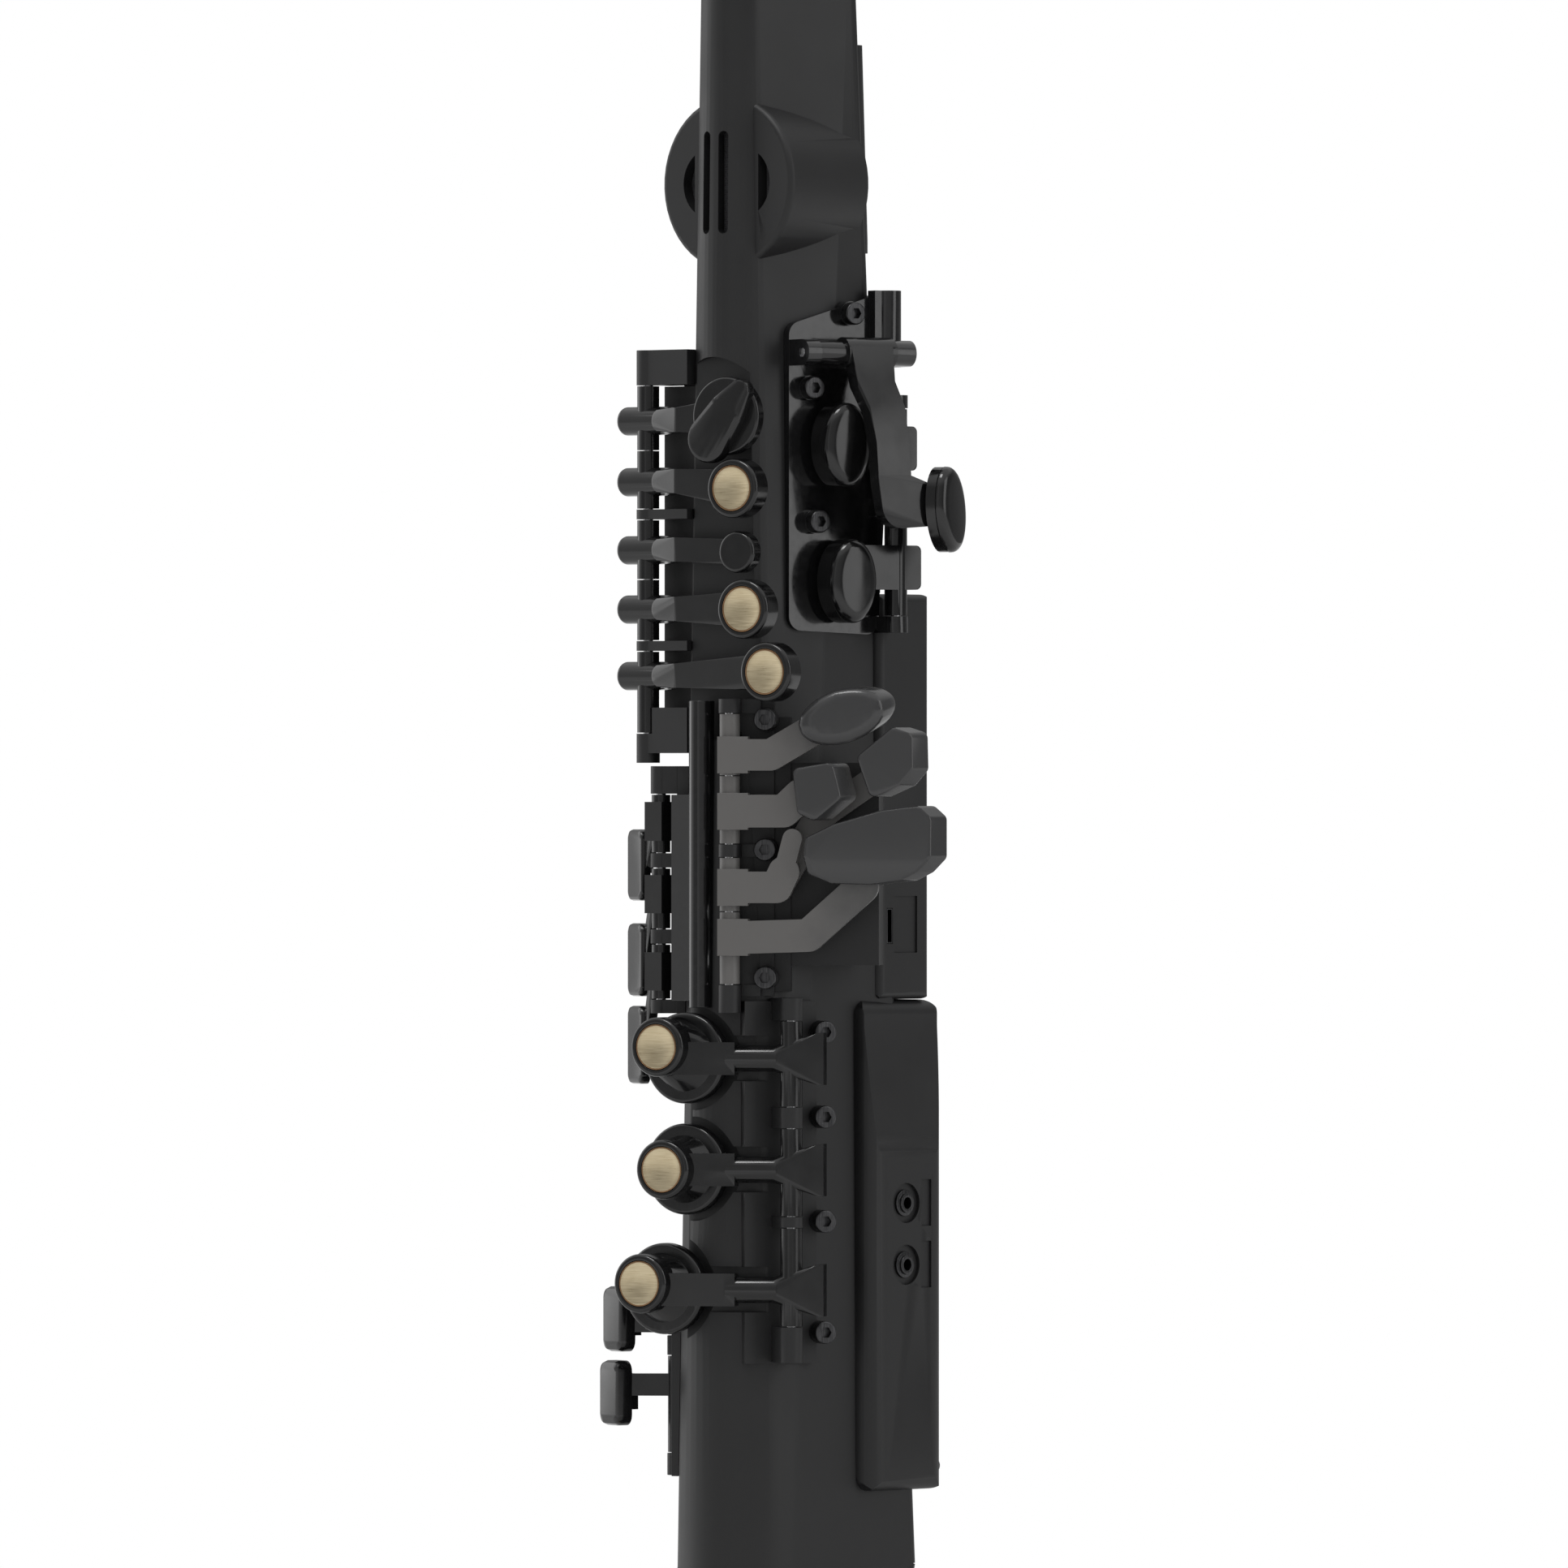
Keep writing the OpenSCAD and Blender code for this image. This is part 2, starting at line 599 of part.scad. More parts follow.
module ligature() color(BRASS) at_neck_end() translate([0, 0, mouthpiece_z]) {
    inner = mouthpiece_r + 0.5;
    difference() {
        union() {
            translate([0, 0, 24]) cylinder(r = inner + ligature_t, h = 20);
            for (z = [28, 38]) translate([-5.4, inner + 1.4, z]) rotate([0, 90, 0]) cylinder(r = 2.2, h = 10.8);
        }
        translate([0, 0, 20]) cylinder(r = inner, h = 30);
        box([-2, 0, 20], [2, 40, 50]);
        for (z = [28, 38]) translate([0, inner + 1.4, z]) rotate([0, 90, 0])
            cylinder(r = 1.02, h = 30, center = true);
    }
    for (z = [28, 38]) translate([-6.6, inner + 1.4, z]) rotate([0, 90, 0]) {
        cylinder(r = 1, h = 16);
        translate([0, 0, 13]) cylinder(r = 3.2, h = 5);
    }
}

module strap_ring() color(STEEL) translate([0, control_y + 0.02, strap_z]) {
    difference() {
        union() {
            translate([-4.5, 0, -9]) cube([9, 1.6, 18]);
            translate([-1.5, 1.5, -5]) cube([3, 3, 10]);
            translate([0, strap_r + 4, 0]) rotate([0, 90, 0]) cylinder(r = strap_r + 2.4, h = 3, center = true);
        }
        translate([0, strap_r + 4, 0]) rotate([0, 90, 0]) cylinder(r = strap_r, h = 10, center = true);
        translate([-10, -5, -12]) cube([20, 5, 24]);
    }
}

// Plate on the back that carries the thumb pad, the octave key's lugs and the stick's ring
module thumb_plate() color(BLACK) difference() {
    union() {
        on_back(440) {
            box([-12, -42, 0], [12, 42, 2]);
            for (x = [-1, 1]) box([x > 0 ? 8.5 : -12, 29, 0], [x > 0 ? 12 : -8.5, 39, octave_n + 4]);
        }
        on_back(thumb_z) translate([0, -2, 1.9]) button_disc(9, 4, 1.5);
        on_back(stick_z) translate([0, 0, 1.9]) cylinder(r = 8.4, h = 2.6);
    }
    body_form(body_low, body_high, 0.05);
    on_back(stick_z) translate([0, 0, 1.9]) cylinder(r = 6.6, h = 5);
    on_back(440) translate([0, octave_z - 440, octave_n]) rotate([0, 90, 0])
        cylinder(r = rod_r + 0.02, h = 40, center = true);
}

module octave_key() color(BLACK) on_back(440) translate([0, octave_z - 440, octave_n]) difference() {
    union() {
        rotate([0, 90, 0]) cylinder(r = 3.4, h = 16.4, center = true);
        hull() {
            translate([-5, -2, 0]) cube([10, 2, 2.8]);
            translate([-5, -18, 3]) cube([10, 2, 2.5]);
        }
        hull() for (x = [-8, 8]) for (y = [-36, -20]) translate([x * 0.9, y, 3])
            cylinder(r = 3, h = 3 + y / 30, $fn = 32);
    }
    rotate([0, 90, 0]) cylinder(r = rod_r + rod_clear, h = 30, center = true);
}

module thumb_stick() color(GLOSS) on_back(stick_z) translate([0, 0, stick_n]) {
    sphere(r = 3.6);
    rotate([0, 90, 0]) cylinder(r = 0.9, h = 12, center = true);
    cylinder(r = 2, h = 6);
    translate([0, 0, 5]) button_disc(5.2, 2.6, 1);
}

module thumb_hook() color(STEEL) translate([0, control_y, hook_z]) difference() {
    union() {
        translate([-8, 0.3, -8]) cube([16, 4, 16]);
        translate([-6, 3, -3]) cube([12, 8, 3.4]);
        translate([0, 10.6, -5.6]) rotate([0, 90, 0]) cylinder(r = 6, h = 12, center = true);
    }
    translate([0, 8.6, -9]) rotate([0, 90, 0]) cylinder(r = 6.4, h = 20, center = true);
}

// Steel rods of every key group, each in its own posts
module hinge_rods() color(STEEL) {
    translate([lh_rod[0], lh_rod[1], 344]) cylinder(r = rod_r, h = 124);
    translate([table_rod[0], table_rod[1], 267]) cylinder(r = rod_r, h = 95);
    translate([rh_rod[0], rh_rod[1], 160]) cylinder(r = rod_r, h = 110.5);
    translate([side_rod[0], side_rod[1], 266.5]) cylinder(r = rod_r, h = 74);
    translate([low_rod[0], low_rod[1], 124]) cylinder(r = rod_r, h = 65);
    on_side(palm_z) {
        translate([palm_rod_x, palm_lug_y[0][0] + 0.5, palm_rod_n]) rotate([-90, 0, 0])
            cylinder(r = rod_r, h = palm_lug_y[2][1] - palm_lug_y[0][0] - 1);
        translate([4.5, palm_f_y, palm_f_n]) rotate([0, 90, 0]) cylinder(r = rod_r, h = 38.6);
    }
    on_back(440) translate([-12, octave_z - 440, octave_n]) rotate([0, 90, 0]) cylinder(r = rod_r, h = 24);
}

// Post with a rod hole, from depth inward of the rod to its front
module rod_post(span, half, depth, front) {
    translate([0, span[0], 0]) rotate([-90, 0, 0]) cylinder(r = front, h = span[1] - span[0]);
    box([-half, span[0], -depth], [half, span[1], 0]);
}

module rod_hole(rod, grow) {
    translate([rod[0], rod[1], 0]) cylinder(r = rod_r + grow, h = body_high);
}

module lh_rail() color(BLACK) difference() {
    web_y = 2.8;
    union() {
        // rounded posts, each with a web back to the rail
        for (post = lh_post) {
            web_z = post[0] == lh_post[3][0] ? post[0] + 3 : post[0];
            translate([lh_rod[0], lh_rod[1], post[0]]) cylinder(r = 3.6, h = post[1] - post[0]);
            box([lh_rod[0], lh_rod[1] - web_y, web_z], [-10, lh_rod[1] + 10, post[1]]);
        }
        box([lh_rod[0] + tube_r + 0.6, lh_rod[1] - web_y, lh_post[3][0] + 3], [-10, lh_rod[1] + 10, 360]);
        box([lh_rod[0] + 0.8, lh_rod[1] + rail_front, lh_tube_z[4][0] + 0.6],
            [-10, lh_rod[1] + rail_front + 4, lh_tube_z[0][1]]);
        box([lh_rod[0] + 8, lh_rod[1] + rail_front + 1, lh_post[3][0] + 3], [-10, lh_rod[1] + 16, lh_post[0][1]]);
    }
    body_form(body_low, body_high, seat);
    rod_hole(lh_rod, 0.02);
}

// Tube of one key around a rod
module key_tube(rod, span, r) {
    translate([rod[0], rod[1], span[0]]) cylinder(r = r, h = span[1] - span[0]);
}

module lh_arm(i, touch_r) {
    z = lh_arm_z[i];
    translate([lh_rod[0] + 9, lh_rod[1], z]) rotate([0, -90, 0]) button_disc(barrel_r, 18.8, 1.6);
    hull() {
        translate([lh_rod[0] + 8.5, lh_rod[1], z]) rotate([0, 90, 0]) cylinder(r = barrel_r, h = 0.5, $fn = 32);
        translate([-11, lh_front + 0.3 - arm_t / 2, z]) cube([1, arm_t, 7.4], center = true);
    }
    // flat tongue with a round root, running out of the barrel
    hull() {
        translate([lh_rod[0] + 9, lh_rod[1] - 2, z]) rotate([90, 0, 0]) soft_disc(3.7, 2.7, 0.5);
        translate([-11, lh_front + 0.3 - arm_t / 2, z]) cube([1, arm_t, 7.4], center = true);
    }
    hull() {
        translate([-11, lh_front + 0.3 - arm_t / 2, z]) cube([1, arm_t, 7.4], center = true);
        on_lh_touch(i) translate([0, 0, -arm_t - 0.6]) cylinder(r = touch_r * 0.62, h = arm_t - 0.6, $fn = 32);
    }
}

// Ring seat of a pearl, hollowed for it
module pearl_ring() {
    translate([0, 0, -5]) difference() {
        button_disc(ring_r, 6.6, 1.2);
        translate([0, 0, 3.6]) cylinder(r = pearl_r + seat, h = 8);
    }
}

// Brass pearl with a dished face
module pearl() {
    translate([0, 0, -1.4]) difference() {
        button_disc(pearl_r, 3, 0.5);
        translate([0, 0, 3 + 24.2]) sphere(r = 25, $fn = 96);
    }
}

// Children stand on the touch of one left-hand key
module on_lh_touch(i) {
    facing(lh_touch[i], lh_face_az) translate([0, lh_touch[i][2], 0]) children();
}

module lh_key(i, touch_r) {
    difference() {
        union() {
            key_tube(lh_rod, lh_tube_z[i], tube_r);
            difference() {
                lh_arm(i, touch_r);
                on_lh_touch(i) translate([0, 0, -1.4]) cylinder(r = touch_r, h = 20);
            }
        }
        rod_hole(lh_rod, rod_clear);
    }
}

module lh_key_1() color(BLACK) {
    lh_key(0, 9);
    on_lh_touch(0) translate([0, 0, -4.4]) {
        button_disc(12, 3.4, 1);
        // curved touch, wide at the foot and swept to a point at the top right
        hull() {
            translate([-4.5, -7, 3]) soft_disc(7.4, 4, 1.6);
            translate([2, 1, 3]) soft_disc(6.2, 4.6, 1.6);
        }
        hull() {
            translate([2, 1, 3]) soft_disc(6.2, 4.6, 1.6);
            translate([6.6, 7.4, 3]) soft_disc(3.8, 3.4, 1);
        }
    }
}

module lh_pearl_key(i) color(BLACK) {
    lh_key(i, ring_r);
    on_lh_touch(i) pearl_ring();
}

module lh_key_2() lh_pearl_key(1);
module lh_key_4() lh_pearl_key(3);
module lh_key_5() lh_pearl_key(4);

module lh_key_3() color(BLACK) {
    lh_key(2, 6.2);
    on_lh_touch(2) translate([0, 0, -5]) button_disc(6.4, 4.4, 1.2);
}

module lh_pearl_2() color(BRASS) on_lh_touch(1) pearl();
module lh_pearl_4() color(BRASS) on_lh_touch(3) pearl();
module lh_pearl_5() color(BRASS) on_lh_touch(4) pearl();

module palm_plate() color(GLOSS) difference() {
    on_side(palm_z) {
        hull() {
            for (p = [[9, -47], [33, -48], [9, 39], [39, 48]])
                translate([p[0], p[1], -1.5]) cylinder(r = 4.5, h = palm_top_n + 1.5);
        }
        for (lug = palm_lug_y) {
            translate([palm_rod_x, lug[0], palm_rod_n]) rotate([-90, 0, 0])
                cylinder(r = 3.7, h = lug[1] - lug[0]);
            box([palm_rod_x - 3, lug[0], 2], [palm_rod_x + 3, lug[1], palm_rod_n]);
        }
        // lugs of the upper lever's cross rod
        translate([4, palm_f_y, palm_f_n]) rotate([0, 90, 0]) cylinder(r = 4, h = 5);
        box([4.6, palm_f_y - 4, 2], [9, palm_f_y + 4, palm_f_n]);
        translate([36.6, palm_f_y, palm_f_n]) rotate([0, 90, 0]) cylinder(r = 4, h = 7);
        box([37, palm_f_y - 4, 2], [43.2, palm_f_y + 4, palm_f_n]);
        translate([40.2, palm_f_y - 4, 4.2]) rotate([-90, 0, 0]) cylinder(r = 4, h = 23.5);
        box([34.2, palm_f_y + 5, 2], [40.2, palm_f_y + 19.5, 6]);
        for (p = palm_screw) translate([p[0], p[1], 2]) cylinder(r = 3.8, h = 3);
    }
    body_form(body_low, body_high, seat);
    box([-control_x - 0.2, control_front - 0.2, control_z[0]],
        [control_x + 0.2, control_y, control_z[1] + 0.2]);
    on_side(palm_z) {
        translate([palm_rod_x, -60, palm_rod_n]) rotate([-90, 0, 0]) cylinder(r = rod_r + 0.02, h = 90);
        translate([0, palm_f_y, palm_f_n]) rotate([0, 90, 0]) cylinder(r = rod_r + 0.02, h = 50);
    }
}

// Flattened link between two points of a lever
module link(a, b, w_a, w_b, t) {
    hull() {
        translate(a) translate([-w_a / 2, -1, -t / 2]) cube([w_a, 2, t]);
        translate(b) translate([-w_b / 2, -1, -t / 2]) cube([w_b, 2, t]);
    }
}

module palm_key_f() color(BLACK) on_side(palm_z) difference() {
    union() {
        translate([9.3, palm_f_y, palm_f_n]) rotate([0, 90, 0]) cylinder(r = 3.6, h = 11);
        translate([18.6, palm_f_y, palm_f_n]) rotate([0, 90, 0]) cylinder(r = 4.8, h = 17.6);
        link([26.8, palm_f_y + 1, palm_f_n + 2.2], [26.2, 24, 16.6], 15.4, 13.6, 4.6);
        link([26.2, 24, 16.6], [27.9, 16, 20.2], 13.6, 12.8, 4.6);
        link([27.9, 16, 20.2], [28, 5, 23], 12.8, 12, 4.6);
        link([28, 5, 23], [27.6, -4.5, 24.6], 12, 12, 4.6);
        hull() {
            translate([27.6, -5, 24.6]) cube([12, 2, 4.6], center = true);
            translate([30, -13, 22.6]) cylinder(r = 7.2, h = 4.6, $fn = 32);
            translate([39.5, -13.2, 27.4]) cube([1, 12.6, 4.6], center = true);
        }
        translate([45, -14.4, 31]) rotate([0, 28, 0]) translate([0, 0, -4]) rotate([0, 0, 10])
            oval_pad(8, 13.2, 6.4);
    }
    translate([0, palm_f_y, palm_f_n]) rotate([0, 90, 0]) cylinder(r = rod_r + rod_clear, h = 60);
}

// Palm touch: an oval pad on a skirt with its lever to the upright rod
module palm_touch(x, y, x_far, y_arm, tube) {
    difference() {
        union() {
            translate([palm_rod_x, tube[0], palm_rod_n]) rotate([-90, 0, 0])
                cylinder(r = 3.5, h = tube[1] - tube[0]);
            hull() for (corner = [[x, -5], [x, 5], [x_far, -5], [x_far, 5]])
                translate([corner[0], y_arm + corner[1], 6.8]) cylinder(r = 1.8, h = 6, $fn = 24);
            translate([x, y, 6]) oval_pad(8.2, 12.8, 10);
        }
        translate([palm_rod_x, -60, palm_rod_n]) rotate([-90, 0, 0]) cylinder(r = rod_r + rod_clear, h = 100);
    }
}

module palm_key_eb() color(BLACK) on_side(palm_z)
    palm_touch(18.7, 5.5, 43.4, 4.6, [palm_lug_y[1][1] + end_gap, palm_lug_y[2][0] - end_gap]);

module palm_key_d() color(BLACK) on_side(palm_z)
    palm_touch(21, -36.3, 44.9, -32, [palm_lug_y[0][1] + end_gap, palm_lug_y[1][0] - end_gap]);

module on_table() facing(table_rod, table_az) children();

module table_base() color(BLACK) difference() {
    on_table() {
        box([-3.4, rh_post[0][1] + 0.6, -13], [13, table_post[0][1], -table_drop]);
        for (post = table_post) {
            rod_post(post, 3.2, 8, 3.4);
            box([0, post[0], -10], [9, post[1], -5]);
        }
        for (z = table_screw_z) translate([10.8, z, -table_drop - 1]) cylinder(r = 3.6, h = table_drop - 1.6);
        box([12, 273, -13], [18, 357, -8]);
        box([18, 281, -24], [45, 343, -9]);
    }
    body_form(body_low, body_high, seat);
    facing(rh_rod, rh_base_az) box([-12.5, rh_post[0][0] - 1, -19.5], [14, rh_post[0][1] + 0.5, 5]);
    rod_hole(table_rod, 0.02);
}

// Root of a table lever on its rod
module table_lever(i) {
    span = table_lever_z[i];
    box([-3.4, span[0], -2.6], [6, span[1], 4.4]);
    translate([0, table_tube_z[i][0], 0]) rotate([-90, 0, 0])
        cylinder(r = 3.1, h = table_tube_z[i][1] - table_tube_z[i][0]);
}

// Flat bar between two points of the table plane
module table_bar(a, b, w, low, high) {
    hull() for (p = [a, b]) translate([p[0], p[1], low]) cylinder(r = w / 2, h = high - low, $fn = 24);
}

// Touch plate through the given points, each with its top; its foot leans to the far side
module table_touch(points, low) {
    hull() for (p = points) {
        translate([p[0], p[1], p[2] - 2]) soft_disc(2.2, 2, 1);
        translate([p[0] + 4, p[1], low]) cylinder(r = 2.2, h = 0.5, $fn = 24);
    }
}

module table_key(i) difference() {
    on_table() {
        table_lever(i);
        children();
    }
    rod_hole(table_rod, rod_clear);
}

module table_key_gsharp() color(BLACK) table_key(0) {
    table_bar([5, 345.4], [13, 345.4], 9.6, 0.6, 4.4);
    table_bar([13, 345.4], [26, 353], 9.6, 0.6, 4.4);
    hull() {
        translate([35.4, 357.1, 8]) rotate([0, 0, 17]) oval_pad(13.8, 8.2, 2.8);
        translate([38.4, 358.2, 3.6]) rotate([0, 0, 17])
            linear_extrude(0.5) polygon([for (a = [0:10:350]) [13.2 * cos(a), 7.4 * sin(a)]]);
    }
}

module table_key_csharp() color(BLACK) table_key(1) {
    table_bar([5, 328.2], [17, 328.2], 10, 0.6, 4.4);
    table_bar([17, 328.2], [22, 333], 10, 0.6, 4.4);
    table_touch([[22.4, 339.4, 9.4], [31, 340.8, 9.4], [33, 333, 9.4], [26.6, 327.6, 9.4],
        [23.6, 329, 9.4]], 3.8);
}

module table_key_b() color(BLACK) table_key(2) {
    // the lever runs level past its rod, then dives beneath the neighbouring touches
    table_bar([5, 304.9], [14.8, 304.9], 9.6, 0.6, 4.4);
    table_bar([14.8, 304.9], [17, 309.6], 9.6, 0.6, 4.4);
    table_bar([17, 310], [19.6, 319.8], 6, -5.4, 4.4);
    table_bar([15, 306], [27, 326], 9, -5.4, -2);
    table_bar([27, 326], [47, 340], 8, -5.4, -2);
    table_bar([47, 341], [49, 342], 9, -5.4, 6);
    table_touch([[42.2, 344, 9.4], [51.4, 351.6, 9.4], [55, 350.4, 9.4], [55.2, 341.6, 9.4], [52, 337.8, 9.4],
        [45.4, 334.8, 9.4]], 4.4);
}

module table_key_bb() color(BLACK) table_key(3) {
    table_bar([5, 289.6], [24.5, 290.2], 10, 0.6, 4.4);
    table_bar([24.5, 290.2], [41, 305], 10, 0.6, 4.4);
    // the touch is folded along its middle, its near half sloping down
    table_touch([[25.6, 314.8, 9.4], [26, 318.6, 9.4], [33.4, 322.2, 9.4], [48, 326.4, 9.4], [58.4, 327.6, 9.4],
        [60.8, 325.4, 9.4], [60.8, 314.8, 9.4], [57.6, 311.4, 8.7], [53.4, 309.2, 8.2], [43.6, 307.9, 8],
        [32, 308.3, 8], [26.6, 310.6, 8.6]], 3.8);
}

module front_bar() color(GLOSS) difference() {
    x_bar = -1.5;
    union() {
        translate([x_bar, lh_front - 2.2, 268]) cylinder(r = 3.9, h = 94);
        box([-13.8, lh_front - 2.4, 270], [x_bar - 3.5, nose_y(table_mid) - 14.6, 333.2]);
        box([x_bar - 3.9, lh_front - 2.2, 268], [x_bar + 3.9, nose_y(table_mid) - 14, 362]);
    }
    body_form(body_low, body_high, seat);
}

module side_brackets() color(BLACK) {
    difference() {
        facing(side_rod, side_az) {
            for (post = side_post) rod_post(post, 3, 12, 3.2);
            box([-5, side_post[3][0], -14], [3.2, side_post[0][1], -5.4]);
        }
        body_form(body_low, body_high, seat);
        rod_hole(side_rod, 0.02);
    }
    difference() {
        facing(low_rod, low_az) {
            for (post = low_post) rod_post(post, 2.6, 7, 2.8);
            box([-9, low_post[2][0], -12], [9, low_post[0][1], -3.1]);
        }
        body_form(body_low, body_high, seat);
        rod_hole(low_rod, 0.02);
    }
}

module side_key(i) color(BLACK) difference() {
    tip = side_rod + side_reach;
    z_mid = (side_touch_z[i][0] + side_touch_z[i][1]) / 2;
    block = side_block_z[i];
    union() {
        key_tube(side_rod, side_tube_z[i], 2.9);
        translate([side_rod[0] - 3.6, side_rod[1] - 3.6, block[0]]) cube([7, 7, block[1] - block[0]]);
        hull() {
            translate([side_rod[0] - 3.6, side_rod[1] - 1, block[0]]) cube([1, 4, 7]);
            facing(tip, -28) translate([3, z_mid + 1, -1]) cube([2, 7, 2.4], center = true);
        }
        facing(tip, -28) hull() for (end = [-1, 1]) for (x = [-4, 3])
            translate([x, z_mid + end * ((side_touch_z[i][1] - side_touch_z[i][0]) / 2 - 3), -1])
                soft_disc(3, 3.2, 1.2);
    }
    rod_hole(side_rod, rod_clear);
}

module side_key_1() side_key(0);
module side_key_2() side_key(1);
module side_key_3() side_key(2);

module rh_base() color(BLACK) difference() {
    facing(rh_rod, rh_base_az) {
        box([-12, rh_post[3][0] - 0.5, -19], [11.5, rh_post[0][1] - 1, -8.6]);
        for (post = rh_post) rod_post(post, 3.4, 10, 3.5);
        for (z = [260.5, 234.5, 202.5, 168.5]) translate([12.5, z, -19]) cylinder(r = 3.5, h = 13);
    }
    body_form(body_low, body_high, seat);
    rod_hole(rh_rod, 0.02);
    rh_wells();
}

module rh_key(i) color(BLACK) {
    z = rh_cup_z[i];
    difference() {
        union() {
            key_tube(rh_rod, rh_tube_z[i], tube_r);
            facing(rh_rod, rh_arm_az) {
                // flared root, round tube and flat block of the arm
                hull() {
                    translate([-6, z, 0]) rotate([0, 90, 0]) cylinder(r = 3.8, h = 0.5, $fn = 32);
                    box([9, z - 8, -2.2], [10.6, z + 8, 3]);
                }
                translate([-20, z, 0]) rotate([0, 90, 0]) cylinder(r = 4, h = 16);
            }
            hull() {
                facing(rh_rod, rh_arm_az) box([-20.5, z - 5, -2.4], [-17, z + 5, 3.6]);
                on_rh_pearl(i) translate([3, z - rh_pearl_z[i] - 5, -4.6]) cube([1, 10, 4]);
            }
        }
        rod_hole(rh_rod, rod_clear);
        on_rh_pearl(i) translate([0, 0, -1.4]) cylinder(r = pearl_r + 0.6, h = 20);
    }
    // cup, its raised centre, and the pearl's ring
    on_rh_front(rh_cup_x[i], z) translate([0, 0, rh_cup_rise - 2.6]) button_disc(cup_r, 3.4, 1.2);
    hull() {
        on_rh_front(rh_cup_x[i], z) translate([0, 0, rh_cup_rise]) cylinder(r = 10.5, h = 0.6, $fn = 32);
        on_rh_pearl(i) translate([0, 0, -4.9]) cylinder(r = ring_r - 0.4, h = 1, $fn = 32);
    }
    on_rh_pearl(i) pearl_ring();
}

module rh_pearl(i) color(BRASS) on_rh_pearl(i) pearl();

// Children stand on the seat of one right-hand pearl
module on_rh_pearl(i) {
    on_rh_front(rh_pearl_x[i], rh_pearl_z[i]) translate([0, 0, rh_cup_rise + rh_pearl_rise]) children();
}

module rh_key_1() rh_key(0);
module rh_key_2() rh_key(1);
module rh_key_3() rh_key(2);
module rh_pearl_1() rh_pearl(0);
module rh_pearl_2() rh_pearl(1);
module rh_pearl_3() rh_pearl(2);

module low_key(i) color(BLACK) difference() {
    touch = low_touch[i];
    tip = low_rod + [touch[0], touch[1]];
    span = low_tube_z[i];
    mid = low_arm_z[i];
    union() {
        key_tube(low_rod, span, low_tube_r);
        hull() {
            translate([low_rod[0] - 3, low_rod[1] - 2.4, mid - 3]) cube([2, 4.4, 6.8]);
            facing(tip, -18) translate([4, mid - 3, -3.4]) cube([2, 6.8, 3]);
        }
        hull() {
            facing(tip, -18) translate([2, mid - 3, -3.4]) cube([4, 6.8, 3]);
            facing(tip, -18) translate([2, touch[2] - 5, -3.4]) cube([4, 8, 3]);
        }
        facing(tip, -18) hull() for (end = [-1, 1]) for (x = [-3, 3])
            translate([x, touch[2] + end * 6.6, -1]) soft_disc(3.4, 5, 2);
    }
    rod_hole(low_rod, rod_clear);
}

module low_key_eb() low_key(0);
module low_key_c() low_key(1);

// Socket-head screw standing on its seat, hexagon socket in its top
module cap_screw() difference() {
    button_disc(3.5, 3, 0.6);
    translate([0, 0, 1.2]) cylinder(r = 1.8, h = 4, $fn = 6);
}

module cap_screws() color("#2a2a2c") {
    on_side(palm_z) for (p = palm_screw) translate([p[0], p[1], 5]) cap_screw();
    on_table() for (z = table_screw_z) translate([10.8, z, -2.6]) cap_screw();
    facing(rh_rod, rh_base_az) for (z = [260.5, 234.5, 202.5, 168.5]) translate([12.5, z, -6]) cap_screw();
}

// Rubber switch domes and stops under the key arms
module key_switches() color("#3b3b3e") {
    for (i = [0:4]) translate([lh_rod[0] + 7, lh_rod[1] + rail_front, lh_arm_z[i]]) rotate([90, 0, 0])
        cylinder(r = 2, h = 0.6);
    on_table() for (p = [[20.5, 331, 7], [36, 332, 0.8], [33.5, 299.5, 6.4]])
        translate([p[0], p[1], -9]) cylinder(r = 2.4, h = p[2]);
}

front_shell();
rear_cover();
control_housing();
display_window();
battery_housing();
battery_door();
batteries();
speaker_driver();
main_board();
breath_sensor();
bell();
neck();
neck_cork();
mouthpiece();
ligature();
reed();
strap_ring();
thumb_plate();
octave_key();
thumb_stick();
thumb_hook();
menu_rocker();
power_button();
audio_jacks();
usb_port();
hinge_rods();
cap_screws();
key_switches();
lh_rail();
lh_key_1();
lh_key_2();
lh_key_3();
lh_key_4();
lh_key_5();
lh_pearl_2();
lh_pearl_4();
lh_pearl_5();
palm_plate();
palm_key_f();
palm_key_eb();
palm_key_d();
table_base();
table_key_gsharp();
table_key_csharp();
table_key_b();
table_key_bb();
front_bar();
side_brackets();
side_key_1();
side_key_2();
side_key_3();
rh_base();
rh_key_1();
rh_key_2();
rh_key_3();
rh_pearl_1();
rh_pearl_2();
rh_pearl_3();
low_key_eb();
low_key_c();
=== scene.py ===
# %% [markdown]
# # A digital wind controller, dressed in Blender
# The object is a straight, saxophone-shaped electronic wind instrument: a tapered black body, black
# keys on steel rods, six brass finger pearls, a brass bell and a black mouthpiece. Its solids come
# from the CAD model, already in their places and in metres. This lesson gives them their finishes,
# adds the small fittings that are too fine for the CAD model, and lights the whole as a product
# photograph. The first cell loads the frame: one Blender object for each CAD node.

# %% Load the CAD frame
import bmesh
import bpy
import json
import math
from mathutils import Matrix, Vector


